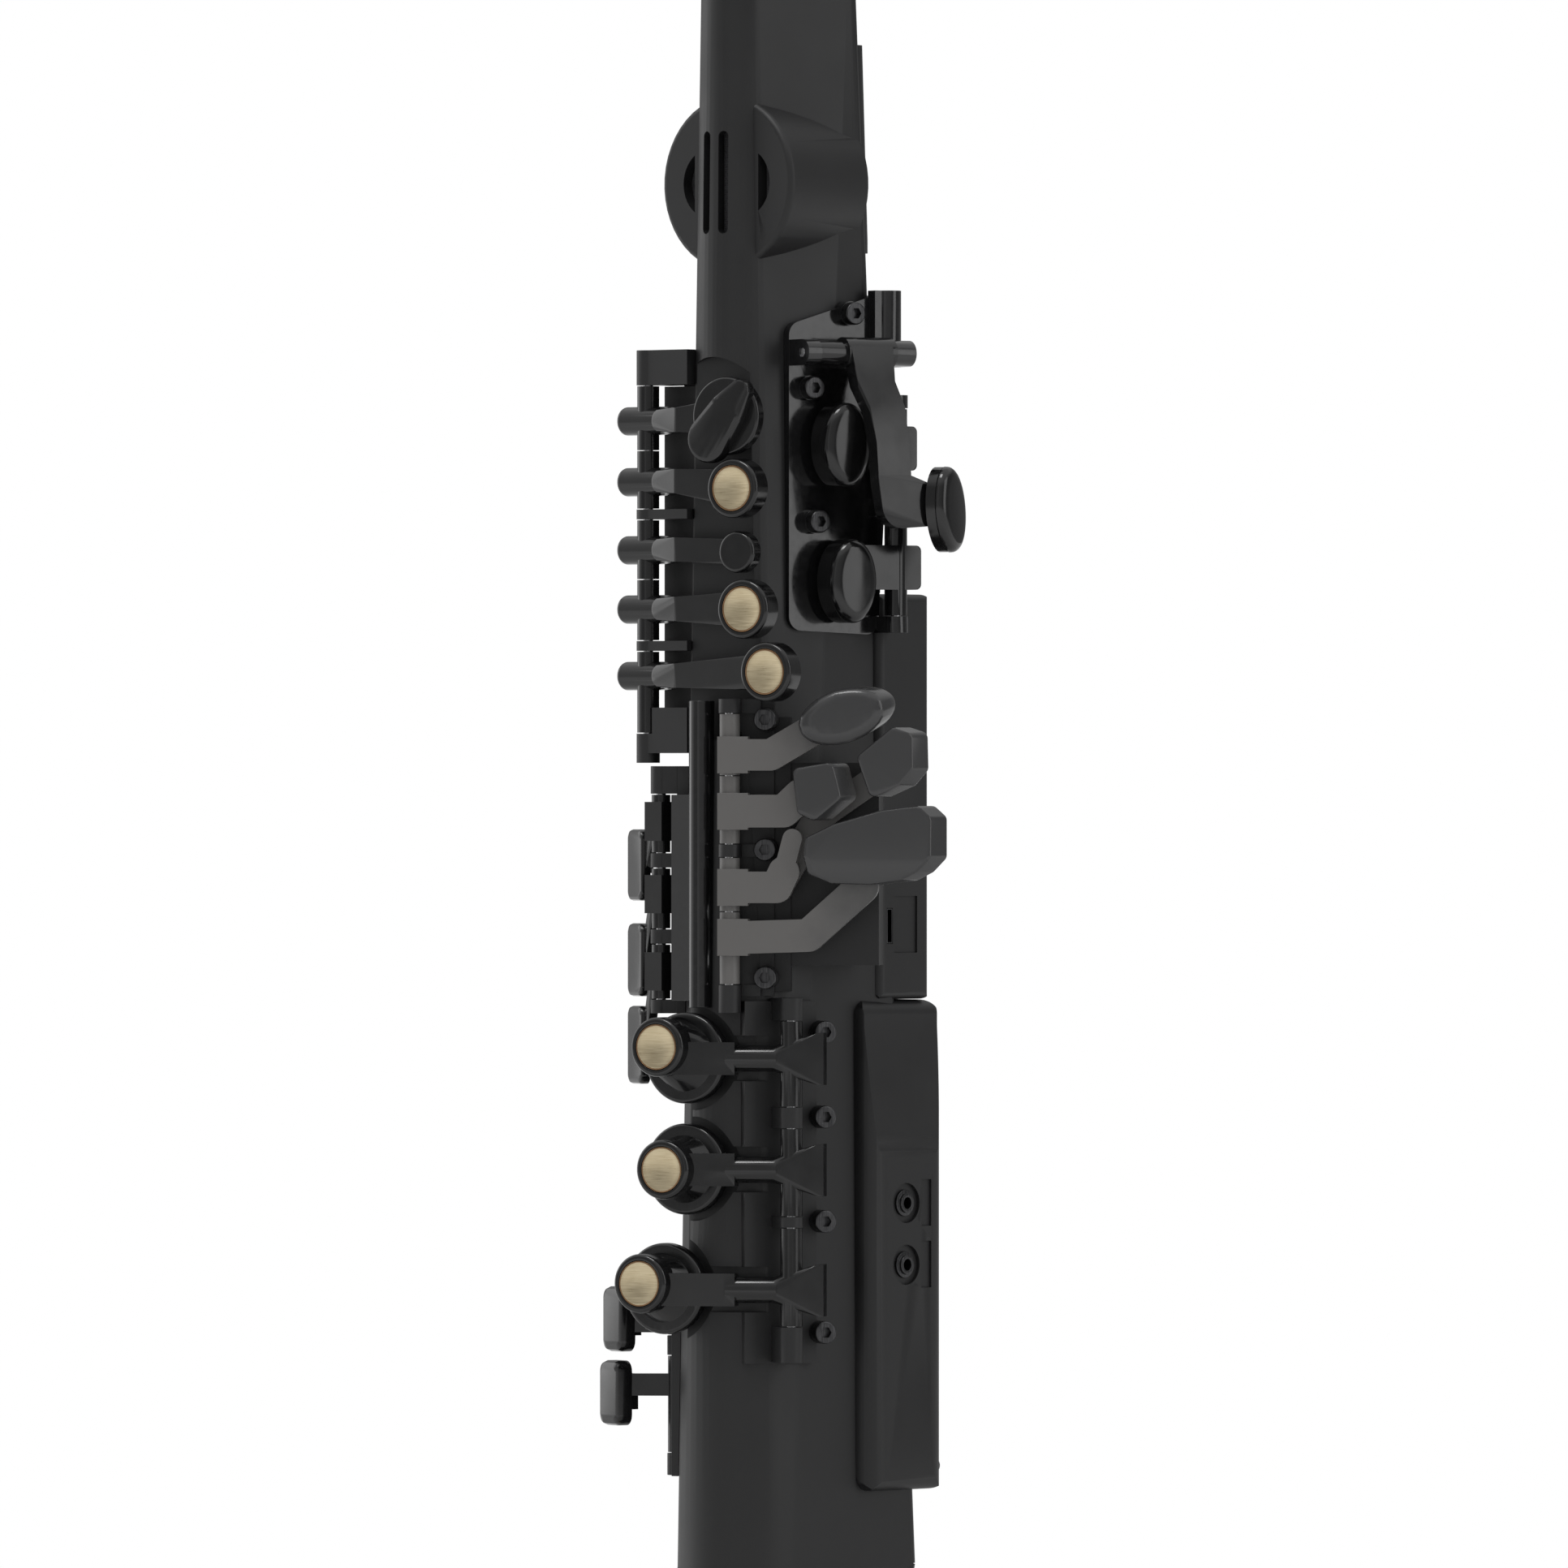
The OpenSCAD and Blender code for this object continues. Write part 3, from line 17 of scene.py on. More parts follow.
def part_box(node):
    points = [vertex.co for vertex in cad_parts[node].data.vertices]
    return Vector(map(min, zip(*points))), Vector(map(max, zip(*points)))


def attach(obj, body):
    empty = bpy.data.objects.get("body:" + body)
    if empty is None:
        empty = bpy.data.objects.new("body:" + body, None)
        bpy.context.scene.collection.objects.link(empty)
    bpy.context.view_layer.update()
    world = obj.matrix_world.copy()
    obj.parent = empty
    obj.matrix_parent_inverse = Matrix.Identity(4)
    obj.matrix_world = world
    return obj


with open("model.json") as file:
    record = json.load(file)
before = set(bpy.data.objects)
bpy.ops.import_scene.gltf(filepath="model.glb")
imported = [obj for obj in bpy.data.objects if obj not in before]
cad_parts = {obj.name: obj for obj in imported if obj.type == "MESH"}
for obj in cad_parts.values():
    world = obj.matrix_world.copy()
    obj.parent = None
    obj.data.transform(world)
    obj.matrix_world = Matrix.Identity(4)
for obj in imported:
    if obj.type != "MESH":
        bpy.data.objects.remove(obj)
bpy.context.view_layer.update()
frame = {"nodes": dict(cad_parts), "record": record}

nodes = frame["nodes"]

# %% [markdown]
# The photograph shows the middle of the instrument from its front right, level and with almost no
# perspective, so the camera stands far off with a narrow lens. One pixel of the picture is a quarter
# of a millimetre, and the picture is 1932 pixels high, so the view is 483 mm high. An empty isn't
# needed to aim the camera: a rotation built from the direction does it.

# %% Camera
PICTURE_PIXELS = 1932
METRES_PER_PIXEL = 0.00025
VIEW_TURN = math.radians(41.5)
CAMERA_DISTANCE = 5.0
AIM_HEIGHT = 0.3365
AIM_ACROSS = 0.0024
SENSOR = 36
view_height = PICTURE_PIXELS * METRES_PER_PIXEL

camera_data = bpy.data.cameras.new("photo_camera")
camera_data.sensor_fit = "VERTICAL"
camera_data.sensor_height = camera_data.sensor_width = SENSOR
camera_data.lens = SENSOR * CAMERA_DISTANCE / view_height
camera_data.clip_end = 10 * CAMERA_DISTANCE
camera = bpy.data.objects.new("photo_camera", camera_data)
bpy.context.scene.collection.objects.link(camera)
across = Vector((math.cos(VIEW_TURN), math.sin(VIEW_TURN), 0))
towards_camera = Vector((math.sin(VIEW_TURN), -math.cos(VIEW_TURN), 0))
camera.location = towards_camera * CAMERA_DISTANCE + across * AIM_ACROSS + Vector((0, 0, AIM_HEIGHT))
camera.rotation_euler = (math.radians(90), 0, VIEW_TURN)
bpy.context.scene.camera = camera
print("camera at", [round(v, 3) for v in camera.location], "lens", round(camera_data.lens, 1))

# %% [markdown]
# Every finish below is a small node tree. Writing each tree out in full would hide what makes a
# finish special, so a few helpers carry the common work. The first starts a material with its plain
# numbers set on the shader itself. The second adds a noise. It uses object coordinates, which are
# metres here, so the grain has a real size.

# %% Start a finish and give it a grain
finishes = {}


def start_finish(name, colour, roughness, metallic=0.0):
    """Makes a material whose plain values sit on the shader itself."""
    finish = bpy.data.materials.new(name)
    finish.use_nodes = True
    shader = finish.node_tree.nodes["Principled BSDF"]
    shader.inputs["Base Color"].default_value = (*colour, 1)
    shader.inputs["Roughness"].default_value = roughness
    shader.inputs["Metallic"].default_value = metallic
    return finish, finish.node_tree, shader


def grain(tree, size, stretch=(1, 1, 1), detail=3.0, turn=(0, 0, 0)):
    """Noise whose features are about size metres across, longer where stretch is small."""
    place = tree.nodes.new("ShaderNodeTexCoord")
    mapping = tree.nodes.new("ShaderNodeMapping")
    mapping.inputs["Rotation"].default_value = turn
    mapping.inputs["Scale"].default_value = stretch
    noise = tree.nodes.new("ShaderNodeTexNoise")
    noise.inputs["Scale"].default_value = 1 / size
    noise.inputs["Detail"].default_value = detail
    tree.links.new(place.outputs["Object"], mapping.inputs["Vector"])
    tree.links.new(mapping.outputs["Vector"], noise.inputs["Vector"])
    return noise.outputs["Fac"]


print("the first two helpers are ready")

# %% [markdown]
# A pattern is only a number from 0 to 1. To do something it must become a range of roughness, a
# colour or a height. One helper does simple arithmetic, one maps a number to another range, one
# colours it, and one makes a relief with a real depth.

# %% Turn a pattern into numbers, colours and relief
def calculate(tree, operation, *values):
    """One piece of arithmetic; each value is a socket or a plain number."""
    node = tree.nodes.new("ShaderNodeMath")
    node.operation = operation
    for socket, value in zip(node.inputs, values):
        if isinstance(value, (int, float)):
            socket.default_value = value
        else:
            tree.links.new(value, socket)
    return node.outputs["Value"]


def in_range(tree, value, start, end, low=0.0, high=1.0):
    """Maps start..end to low..high, and holds the ends outside it."""
    node = tree.nodes.new("ShaderNodeMapRange")
    node.inputs["From Min"].default_value = start
    node.inputs["From Max"].default_value = end
    node.inputs["To Min"].default_value = low
    node.inputs["To Max"].default_value = high
    tree.links.new(value, node.inputs["Value"])
    return node.outputs["Result"]


def spread(tree, pattern, low, high, target, start=0.3, end=0.7):
    """Spreads a pattern over low..high and plugs it into a number socket."""
    tree.links.new(in_range(tree, pattern, start, end, low, high), target)


def colours_along(tree, value, stops):
    """Colours a number with (position, colour) stops."""
    node = tree.nodes.new("ShaderNodeValToRGB")
    ramp = node.color_ramp
    while len(ramp.elements) < len(stops):
        ramp.elements.new(0.5)
    for element, (position, colour) in zip(ramp.elements, stops):
        element.position = position
        element.color = (*colour, 1)
    tree.links.new(value, node.inputs["Fac"])
    return node.outputs["Color"]


def blend_colours(tree, shader, pattern, stops):
    """Makes a pattern the colour of the finish."""
    tree.links.new(colours_along(tree, pattern, stops), shader.inputs["Base Color"])


def relief(tree, shader, pattern, depth, strength):
    """Adds a bump whose full height is depth metres."""
    node = tree.nodes.new("ShaderNodeBump")
    node.inputs["Strength"].default_value = strength
    node.inputs["Distance"].default_value = depth
    tree.links.new(pattern, node.inputs["Height"])
    tree.links.new(node.outputs["Normal"], shader.inputs["Normal"])


print("the helpers for patterns are ready")

# %% [markdown]
# The body is moulded in black plastic with a fine satin texture from the mould. Its grain is about a
# third of a millimetre, too fine to be seen as bumps but coarse enough to spread each highlight into
# a soft band. A second, slow pattern changes the roughness a little, as handling does.

# %% Satin black of the casings
def satin_black():
    finish, tree, shader = start_finish("satin_black", (0.0095, 0.0095, 0.01), 0.5)
    shader.inputs["Specular IOR Level"].default_value = 0.45
    skin = grain(tree, 0.00035, detail=2)
    handled = grain(tree, 0.03, detail=4)
    spread(tree, handled, 0.44, 0.54, shader.inputs["Roughness"])
    blend_colours(tree, shader, handled, [(0.35, (0.0085, 0.0085, 0.009)), (0.65, (0.011, 0.011, 0.0115))])
    relief(tree, shader, skin, 0.00003, 0.5)
    return finish


finishes["body_black"] = satin_black()
print("casings:", finishes["body_black"].name)

# %% [markdown]
# The keys are smoother. Their plastic comes from polished moulds, so window-like highlights stay
# crisp, but fingers leave a faint, cloudy film. The film works mostly through the roughness: its
# colour hardly shows on black.

# %% Half-gloss black of the keys
def key_black():
    finish, tree, shader = start_finish("key_black", (0.006, 0.006, 0.0063), 0.16)
    shader.inputs["Specular IOR Level"].default_value = 0.5
    film = grain(tree, 0.008, detail=5)
    swell = grain(tree, 0.012, detail=1)
    spread(tree, film, 0.11, 0.21, shader.inputs["Roughness"])
    blend_colours(tree, shader, film, [(0.3, (0.005, 0.005, 0.0053)), (0.7, (0.0075, 0.0075, 0.0078))])
    relief(tree, shader, swell, 0.00004, 0.15)
    return finish


finishes["key_black"] = key_black()
print("keys:", finishes["key_black"].name)

# %% [markdown]
# The palm plate and the long round bar are lacquered to a mirror. A clear coat over the black gives
# the depth of lacquer, and a faint long wave in the surface bends the reflections as real lacquer does.

# %% Lacquered black
def lacquer_black():
    finish, tree, shader = start_finish("lacquer_black", (0.006, 0.006, 0.0065), 0.14)
    shader.inputs["Specular IOR Level"].default_value = 0.5
    shader.inputs["Coat Weight"].default_value = 0.25
    shader.inputs["Coat Roughness"].default_value = 0.04
    dust = grain(tree, 0.002, detail=6)
    wave = grain(tree, 0.02, detail=1)
    spread(tree, dust, 0.1, 0.2, shader.inputs["Roughness"])
    blend_colours(tree, shader, dust, [(0.3, (0.005, 0.005, 0.0055)), (0.75, (0.008, 0.008, 0.0085))])
    relief(tree, shader, wave, 0.00004, 0.3)
    return finish


finishes["gloss_black"] = lacquer_black()
print("plate and bar:", finishes["gloss_black"].name)

# %% [markdown]
# The four table keys are cast in one piece each: a long lever and a raised touch. The lever is left
# satin and the touch is polished by the finger. Their colour is painted lighter than the other black
# keys, the lever most: a painted reflection of the sheen they catch. The height above the body tells
# the two apart, measured along the way the table faces, so one finish covers both. The finger's film
# makes the border between them uneven.

# %% Satin levers and polished touches, with a painted sheen
TABLE_FACES = (0.663, -0.749, 0)
LEVER_TOP, TOUCH_START = 0.0415, 0.0465
UNEVEN_BORDER = 0.0022
# painted reflection: the lever's grey and the touch's lifted black stand in for the sheen the keys catch
PAINTED_SHEEN_LEVER_TO_TOUCH = [(0.0, (0.125, 0.121, 0.117)), (0.3, (0.1, 0.098, 0.096)), (0.75, (0.05, 0.05, 0.051)),
                  (1.0, (0.04, 0.04, 0.041))]


def table_satin_painted_sheen():
    finish, tree, shader = start_finish("table_satin_painted_sheen", (0.04, 0.04, 0.041), 0.3)
    shader.inputs["Specular IOR Level"].default_value = 0.5
    place = tree.nodes.new("ShaderNodeTexCoord")
    height = tree.nodes.new("ShaderNodeVectorMath")
    height.operation = "DOT_PRODUCT"
    height.inputs[1].default_value = TABLE_FACES
    tree.links.new(place.outputs["Object"], height.inputs[0])
    film = grain(tree, 0.006, detail=6)
    level = calculate(tree, "MULTIPLY_ADD", film, UNEVEN_BORDER, height.outputs["Value"])
    raised = in_range(tree, level, LEVER_TOP, TOUCH_START)
    # the colour by height is a painted sheen, lightest on the lever
    blend_colours(tree, shader, raised, PAINTED_SHEEN_LEVER_TO_TOUCH)
    spread(tree, raised, 0.4, 0.2, shader.inputs["Roughness"], 0.1, 0.9)
    relief(tree, shader, film, 0.00003, 0.2)
    return finish


finishes["table_satin_painted_sheen"] = table_satin_painted_sheen()
print("table keys:", finishes["table_satin_painted_sheen"].name)

# %% [markdown]
# The pearls and the bell are brass, aged to a warm grey-gold and brushed. Brushing is drawn by
# stretching a fine noise twenty-five times along the stroke: it drives the colour, the roughness and
# a very shallow relief together, so that each scratch both darkens and catches the light. A slower
# patina is mixed into the colour.

# %% Brushed antique brass
BRASS_DARK, BRASS_LIGHT = (0.46, 0.375, 0.235), (0.68, 0.585, 0.4)


def brushed_brass(name, stroke, turn, dark, light):
    finish, tree, shader = start_finish(name, light, 0.32, metallic=1.0)
    strokes = grain(tree, 0.00024, stretch=stroke, detail=4, turn=turn)
    patina = grain(tree, 0.006, detail=4)
    spread(tree, strokes, 0.26, 0.4, shader.inputs["Roughness"])
    mix = tree.nodes.new("ShaderNodeMix")
    mix.inputs["Factor"].default_value = 0.3
    tree.links.new(strokes, mix.inputs["A"])
    tree.links.new(patina, mix.inputs["B"])
    blend_colours(tree, shader, mix.outputs["Result"], [(0.3, dark), (0.68, light)])
    relief(tree, shader, strokes, 0.000012, 0.6)
    return finish


finishes["brass"] = brushed_brass("brushed_brass", (0.04, 0.04, 1), (0, math.radians(62), 0),
                                  BRASS_DARK, BRASS_LIGHT)
print("pearls and bell:", finishes["brass"].name)

# %% [markdown]
# Rods, ring and sockets are bright steel, and the cap screws are blackened steel that has worn
# lighter where a key turns in them. Both use the same drawn-metal grain in different tones.

# %% Steels
def drawn_steel(name, dark, light, rough_low, rough_high):
    finish, tree, shader = start_finish(name, light, rough_low, metallic=1.0)
    drawn = grain(tree, 0.0003, stretch=(1, 1, 0.05), detail=3)
    spread(tree, drawn, rough_low, rough_high, shader.inputs["Roughness"])
    blend_colours(tree, shader, drawn, [(0.3, dark), (0.7, light)])
    relief(tree, shader, drawn, 0.00001, 0.4)
    return finish


finishes["steel"] = drawn_steel("bright_steel", (0.36, 0.36, 0.37), (0.62, 0.62, 0.63), 0.2, 0.36)
finishes["dark_steel"] = drawn_steel("blackened_steel", (0.035, 0.035, 0.037), (0.09, 0.09, 0.092),
                                     0.3, 0.45)
print("steels:", finishes["steel"].name, finishes["dark_steel"].name)

# %% [markdown]
# Cork shows dark pores of a millimetre or two in a warm brown, and the pores are real pits. The reed
# is cane: long straight fibres, which are noise stretched more than thirty times.

# %% Cork and cane
def cork_brown():
    finish, tree, shader = start_finish("cork_brown", (0.42, 0.26, 0.13), 0.8)
    pores = grain(tree, 0.0016, detail=6)
    blend_colours(tree, shader, pores, [(0.38, (0.13, 0.07, 0.035)), (0.48, (0.38, 0.23, 0.115)),
                                        (0.7, (0.5, 0.33, 0.18))])
    relief(tree, shader, pores, 0.0002, 0.6)
    return finish


def cane():
    finish, tree, shader = start_finish("cane", (0.62, 0.5, 0.27), 0.5)
    fibres = grain(tree, 0.0005, stretch=(1, 1, 0.03), detail=4, turn=(math.radians(20), 0, 0))
    blend_colours(tree, shader, fibres, [(0.35, (0.46, 0.34, 0.15)), (0.65, (0.7, 0.58, 0.34))])
    spread(tree, fibres, 0.42, 0.6, shader.inputs["Roughness"])
    relief(tree, shader, fibres, 0.00004, 0.5)
    return finish


finishes["cork"] = cork_brown()
finishes["reed"] = cane()
print("mouthpiece end:", finishes["cork"].name, finishes["reed"].name)

# %% [markdown]
# The small inner pieces each get the finish of their own stuff: rubber of the key switches, dark
# glass of the display, the film round a battery cell, the green lacquer of a circuit board and the
# paper of the speaker cone. All are one kind of mottled surface, so one helper makes them.

# %% Rubber, glass, film, board and paper
def mottled(name, dark, light, size, rough_low, rough_high, depth):
    """A plain stuff with its own grain, size metres across and depth metres deep."""
    finish, tree, shader = start_finish(name, light, rough_low)
    pattern = grain(tree, size, detail=4)
    blend_colours(tree, shader, pattern, [(0.35, dark), (0.65, light)])
    spread(tree, pattern, rough_low, rough_high, shader.inputs["Roughness"])
    relief(tree, shader, pattern, depth, 0.5)
    return finish


small_stuffs = {
    "rubber": ("switch_rubber", (0.02, 0.02, 0.021), (0.045, 0.045, 0.046), 0.0008, 0.6, 0.75, 0.00003),
    "window": ("display_glass", (0.004, 0.005, 0.007), (0.006, 0.008, 0.011), 0.01, 0.05, 0.09, 0.00001),
    "cell": ("cell_film", (0.05, 0.09, 0.12), (0.09, 0.15, 0.19), 0.004, 0.3, 0.4, 0.00002),
    "board": ("board_lacquer", (0.008, 0.07, 0.03), (0.015, 0.12, 0.05), 0.002, 0.3, 0.5, 0.00005),
    "driver": ("cone_paper", (0.02, 0.02, 0.021), (0.045, 0.045, 0.046), 0.0006, 0.7, 0.85, 0.00008),
}
for slot, stuff in small_stuffs.items():
    finishes[slot] = mottled(*stuff)
print("finishes:", ", ".join(sorted(finishes)))

# %% [markdown]
# The CAD solids come as fine triangles with sharp edges. Moulded plastic has no sharp edge: each
# corner is rounded by a few tenths of a millimetre and shows as a thin bright line. So each node gets
# a weld, a narrow bevel on the edges that are really corners, and weighted normals, which keep the
# flat faces flat. The mesh itself isn't touched: these are modifiers.

# %% Soft corners
CORNER_ANGLE = math.radians(32)
WELD_DISTANCE = 0.000002


def soften(piece, width, segments=3):
    """Welds a mesh, rounds its corners and smooths the shading between them."""
    weld = piece.modifiers.new("weld", "WELD")
    weld.merge_threshold = WELD_DISTANCE
    bevel = piece.modifiers.new("rounded_corners", "BEVEL")
    bevel.width = width
    bevel.segments = segments
    bevel.limit_method = "ANGLE"
    bevel.angle_limit = CORNER_ANGLE
    bevel.miter_outer = "MITER_ARC"
    bevel.harden_normals = False
    piece.modifiers.new("even_normals", "WEIGHTED_NORMAL")


print("corners over", round(math.degrees(CORNER_ANGLE)), "degrees are rounded")

# %% [markdown]
# The frame's record says which slot each node takes its finish from. How round a corner is depends
# on the stuff: moulded plastic is softest, turned metal crisper, and the thin reed nearly sharp.

# %% Give every node its finish and soft edges
EDGE = {"body_black": 0.0005, "key_black": 0.00045, "gloss_black": 0.0004, "brass": 0.00022,
        "steel": 0.00012, "dark_steel": 0.00018, "rubber": 0.0002, "cork": 0.0003, "reed": 0.00008,
        "window": 0.00025, "cell": 0.0004, "board": 0.00012, "driver": 0.0003}
slot_of = {part["node"]: part["material_slot"] for part in frame["record"]["subparts"]}

for name, piece in nodes.items():
    slot = slot_of[name]
    piece.data.materials.clear()
    # the table keys take the finish whose lighter colour is a painted sheen
    piece.data.materials.append(finishes["table_satin_painted_sheen" if name.startswith("table_key") else slot])
    for face in piece.data.polygons:
        face.use_smooth = True
    soften(piece, EDGE[slot])
print("dressed", len(nodes), "nodes")

# %% [markdown]
# Small fittings are too fine for the CAD model. Each is placed by a straight line shot at the CAD
# piece that carries it: where the line meets the surface is the fitting's place, and the way the
# surface faces there is its upright. So a fitting sits right on a body that tapers or leans. A second
# helper turns built points and faces into a piece that moves with its body.

# %% Find a place and put a piece there
FITTING_EDGE = 0.00008


def surface_at(node, start, direction):
    """Finds where a straight line first meets a CAD piece, and which way the surface faces there."""
    bpy.context.view_layer.update()
    met, place, facing, _ = nodes[node].ray_cast(Vector(start), Vector(direction).normalized())
    if not met:
        raise ValueError("no surface of " + node + " there")
    return place, facing


def place_piece(name, mesh, finish, body, edge=FITTING_EDGE):
    """Turns built points and faces into an object that rides on a body."""
    bmesh.ops.recalc_face_normals(mesh, faces=mesh.faces)
    data = bpy.data.meshes.new(name)
    mesh.to_mesh(data)
    mesh.free()
    for face in data.polygons:
        face.use_smooth = True
    data.materials.append(finish)
    piece = bpy.data.objects.new(name, data)
    bpy.context.scene.collection.objects.link(piece)
    if edge:
        soften(piece, edge, 2)
    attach(piece, body)
    return piece


print("the helpers for placing are ready")

# %% [markdown]
# Most fittings are turned, as on a lathe: rings of points with a radius and a height, joined by
# faces. A ring may also be cross-shaped, which makes the recess of a screw. A closed profile comes
# back to its first ring, as in a bead or a finger ring.

# %% The lathe
def outline_factor(outline, angle):
    """How far a ring reaches at an angle, as a share of its radius."""
    if outline == "cross":
        return 1.0 if abs((angle + 45) % 90 - 45) < 16 else 0.4
    return 1.0


def ring_of_points(mesh, radius, height, outline, steps):
    """One ring of the lathe, or a single point on the axis."""
    if radius == 0:
        return [mesh.verts.new((0, 0, height))]
    ring = []
    for step in range(steps):
        angle = 360 * step / steps
        reach = radius * outline_factor(outline, angle)
        turn = math.radians(angle)
        ring.append(mesh.verts.new((reach * math.cos(turn), reach * math.sin(turn), height)))
    return ring


def turned(name, rings, place, upright, finish, body, closed=False, steps=48, edge=FITTING_EDGE):
    """Builds a turned piece. Each ring is (radius, height) or (radius, height, outline), in metres."""
    mesh = bmesh.new()
    made = [ring_of_points(mesh, radius, height, outline[0] if outline else "round", steps)
            for radius, height, *outline in rings]
    if closed:
        made.append(made[0])
    for lower, upper in zip(made, made[1:]):
        for step in range(steps):
            ahead = (step + 1) % steps
            corners = [lower[step % len(lower)], lower[ahead % len(lower)],
                       upper[ahead % len(upper)], upper[step % len(upper)]]
            mesh.faces.new(list(dict.fromkeys(corners)))
    stand = Vector(upright).to_track_quat("Z", "Y").to_matrix().to_4x4()
    mesh.transform(Matrix.Translation(Vector(place)) @ stand)
    return place_piece(name, mesh, finish, body, edge)


print("the lathe is ready")

# %% [markdown]
# The two housings on the back are held by pan-head screws with a cross recess. A screw like this is
# turned and then struck, so it is a lathe shape whose last rings are cross-shaped. Its foot goes a
# little way into the plastic, so that no gap shows where the surface curves.

# %% Housing screws
PAN_HEAD = [(0, -0.0007), (0.0023, -0.0007), (0.0023, 0.0004), (0.0021, 0.0008), (0.0017, 0.00105),
            (0.00145, 0.0011, "cross"), (0.0012, 0.0003, "cross"), (0, 0.0002)]
BEHIND, FORWARDS = 0.12, (0, -1, 0)
screw_spots = [("control_housing", 0.022, 0.387), ("control_housing", -0.022, 0.387),
               ("control_housing", 0.022, 0.28), ("control_housing", -0.022, 0.28),
               ("battery_housing", 0.022, 0.256), ("battery_housing", -0.022, 0.256),
               ("battery_housing", 0.026, 0.126), ("battery_housing", -0.026, 0.126)]
for number, (node, x, z) in enumerate(screw_spots, 1):
    place, facing = surface_at(node, (x, BEHIND, z), FORWARDS)
    turned(f"housing_screw_{number}", PAN_HEAD, place, facing, finishes["dark_steel"], "body")
    print("screw", number, "at", [round(v * 1000, 1) for v in place])

# %% [markdown]
# Each pearl is set in its black ring like a stone, and a thin coppery edge shows round it where the
# brushing stops. The edge is a narrow turned ring. The pearl's own box gives its place. Its largest
# flat face is its back, and the pearl looks the opposite way.

# %% Coppery edges of the pearls
PEARL_EDGE = [(0.00634, 0.0013), (0.0064, 0.00152), (0.00665, 0.00158), (0.00695, 0.0015),
              (0.00709, 0.0012), (0.0071, 0.0006), (0.0068, 0.0006)]
FINE_EDGE = 0.00002
copper_edge = brushed_brass("copper_edge", (1, 1, 1), (0, 0, 0), (0.16, 0.09, 0.045), (0.3, 0.18, 0.1))
body_of = {name: body for body, names in frame["record"]["behaviour"]["bodies"].items() for name in names}


def facing_of(pearl):
    """The way a dished disc looks: opposite to its largest flat face, which is its back."""
    areas = {}
    for face in pearl.data.polygons:
        way = tuple(round(v, 2) for v in face.normal)
        areas[way] = areas.get(way, 0) + face.area
    return -Vector(max(areas, key=areas.get)).normalized()


for name in sorted(n for n in nodes if "pearl" in n):
    low_corner, high_corner = (Vector(corner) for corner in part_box(name))
    facing = facing_of(nodes[name])
    turned(name + "_edge", PEARL_EDGE, (low_corner + high_corner) / 2, facing, copper_edge, body_of[name],
           closed=True, steps=96, edge=FINE_EDGE)
    print(name, "faces", [round(v, 2) for v in facing])

# %% [markdown]
# The three palm touches are oval and domed, and their gloss would show every facet of the CAD solid.
# So a smooth cap, a sixth of a millimetre proud, is laid over each. First the cap needs its place:
# the outermost flat of the key is the top of the touch. Its middle is the cap's middle, and the
# corner farthest from it gives the long axis.

# %% Where a palm touch is and how it lies
SMALLEST_TOP = 0.00006


def touch_axes(key, way):
    """Middle, short axis, long axis and upright of an oval touch that looks roughly one way."""
    flats = {}
    for face in key.data.polygons:
        if face.normal.dot(way) > 0.75:
            plane = (*(round(v, 2) for v in face.normal), round(face.center.dot(face.normal), 4))
            flats.setdefault(plane, []).append(face)
    wide = [faces for faces in flats.values() if sum(face.area for face in faces) > SMALLEST_TOP]
    top = max(wide, key=lambda faces: faces[0].center.dot(faces[0].normal))
    middle = sum((face.center * face.area for face in top), Vector()) / sum(face.area for face in top)
    upright = top[0].normal.normalized()
    corners = {index for face in top for index in face.vertices}
    long_axis = max((key.data.vertices[i].co - middle for i in corners), key=lambda v: v.length)
    long_axis = (long_axis - upright * long_axis.dot(upright)).normalized()
    return middle, long_axis.cross(upright), long_axis, upright


for key in ("palm_key_eb", "palm_key_d"):
    print(key, "looks", [round(v, 2) for v in touch_axes(nodes[key], Vector((1, 0, 0)))[3]])

# %% [markdown]
# The cap is built from oval loops. They start inside the touch, run up its side, follow a quarter of
# an ellipse over the edge, and end in a very shallow dome. Loops a millimetre apart with smooth
# shading hold a reflection without a facet.

# %% Domed caps of the palm touches
EDGE_REACH, EDGE_FALL = 0.0036, 0.0026
TOP_PROUD, SIDE_PROUD, DOME = 0.00016, 0.00006, 0.00022
CAP_FOOT = -0.0031
CAP_STEPS = 90


def cap_loops(half_width, half_length):
    """The cap's ovals as (half width, half length, height), from its foot to near its top."""
    insets = [(0.0006, CAP_FOOT), (-0.00008, CAP_FOOT)]
    for step in range(9):
        angle = math.radians(90 * step / 8)
        insets.append((EDGE_REACH * (1 - math.cos(angle)) - SIDE_PROUD,
                       (EDGE_FALL + TOP_PROUD) * math.sin(angle) - EDGE_FALL))
    loops = [(half_width - inset, half_length - inset, height) for inset, height in insets]
    for share in (0.75, 0.5, 0.25):
        loops.append(((half_width - EDGE_REACH) * share, (half_length - EDGE_REACH) * share,
                      TOP_PROUD + DOME * (1 - share * share)))
    return loops


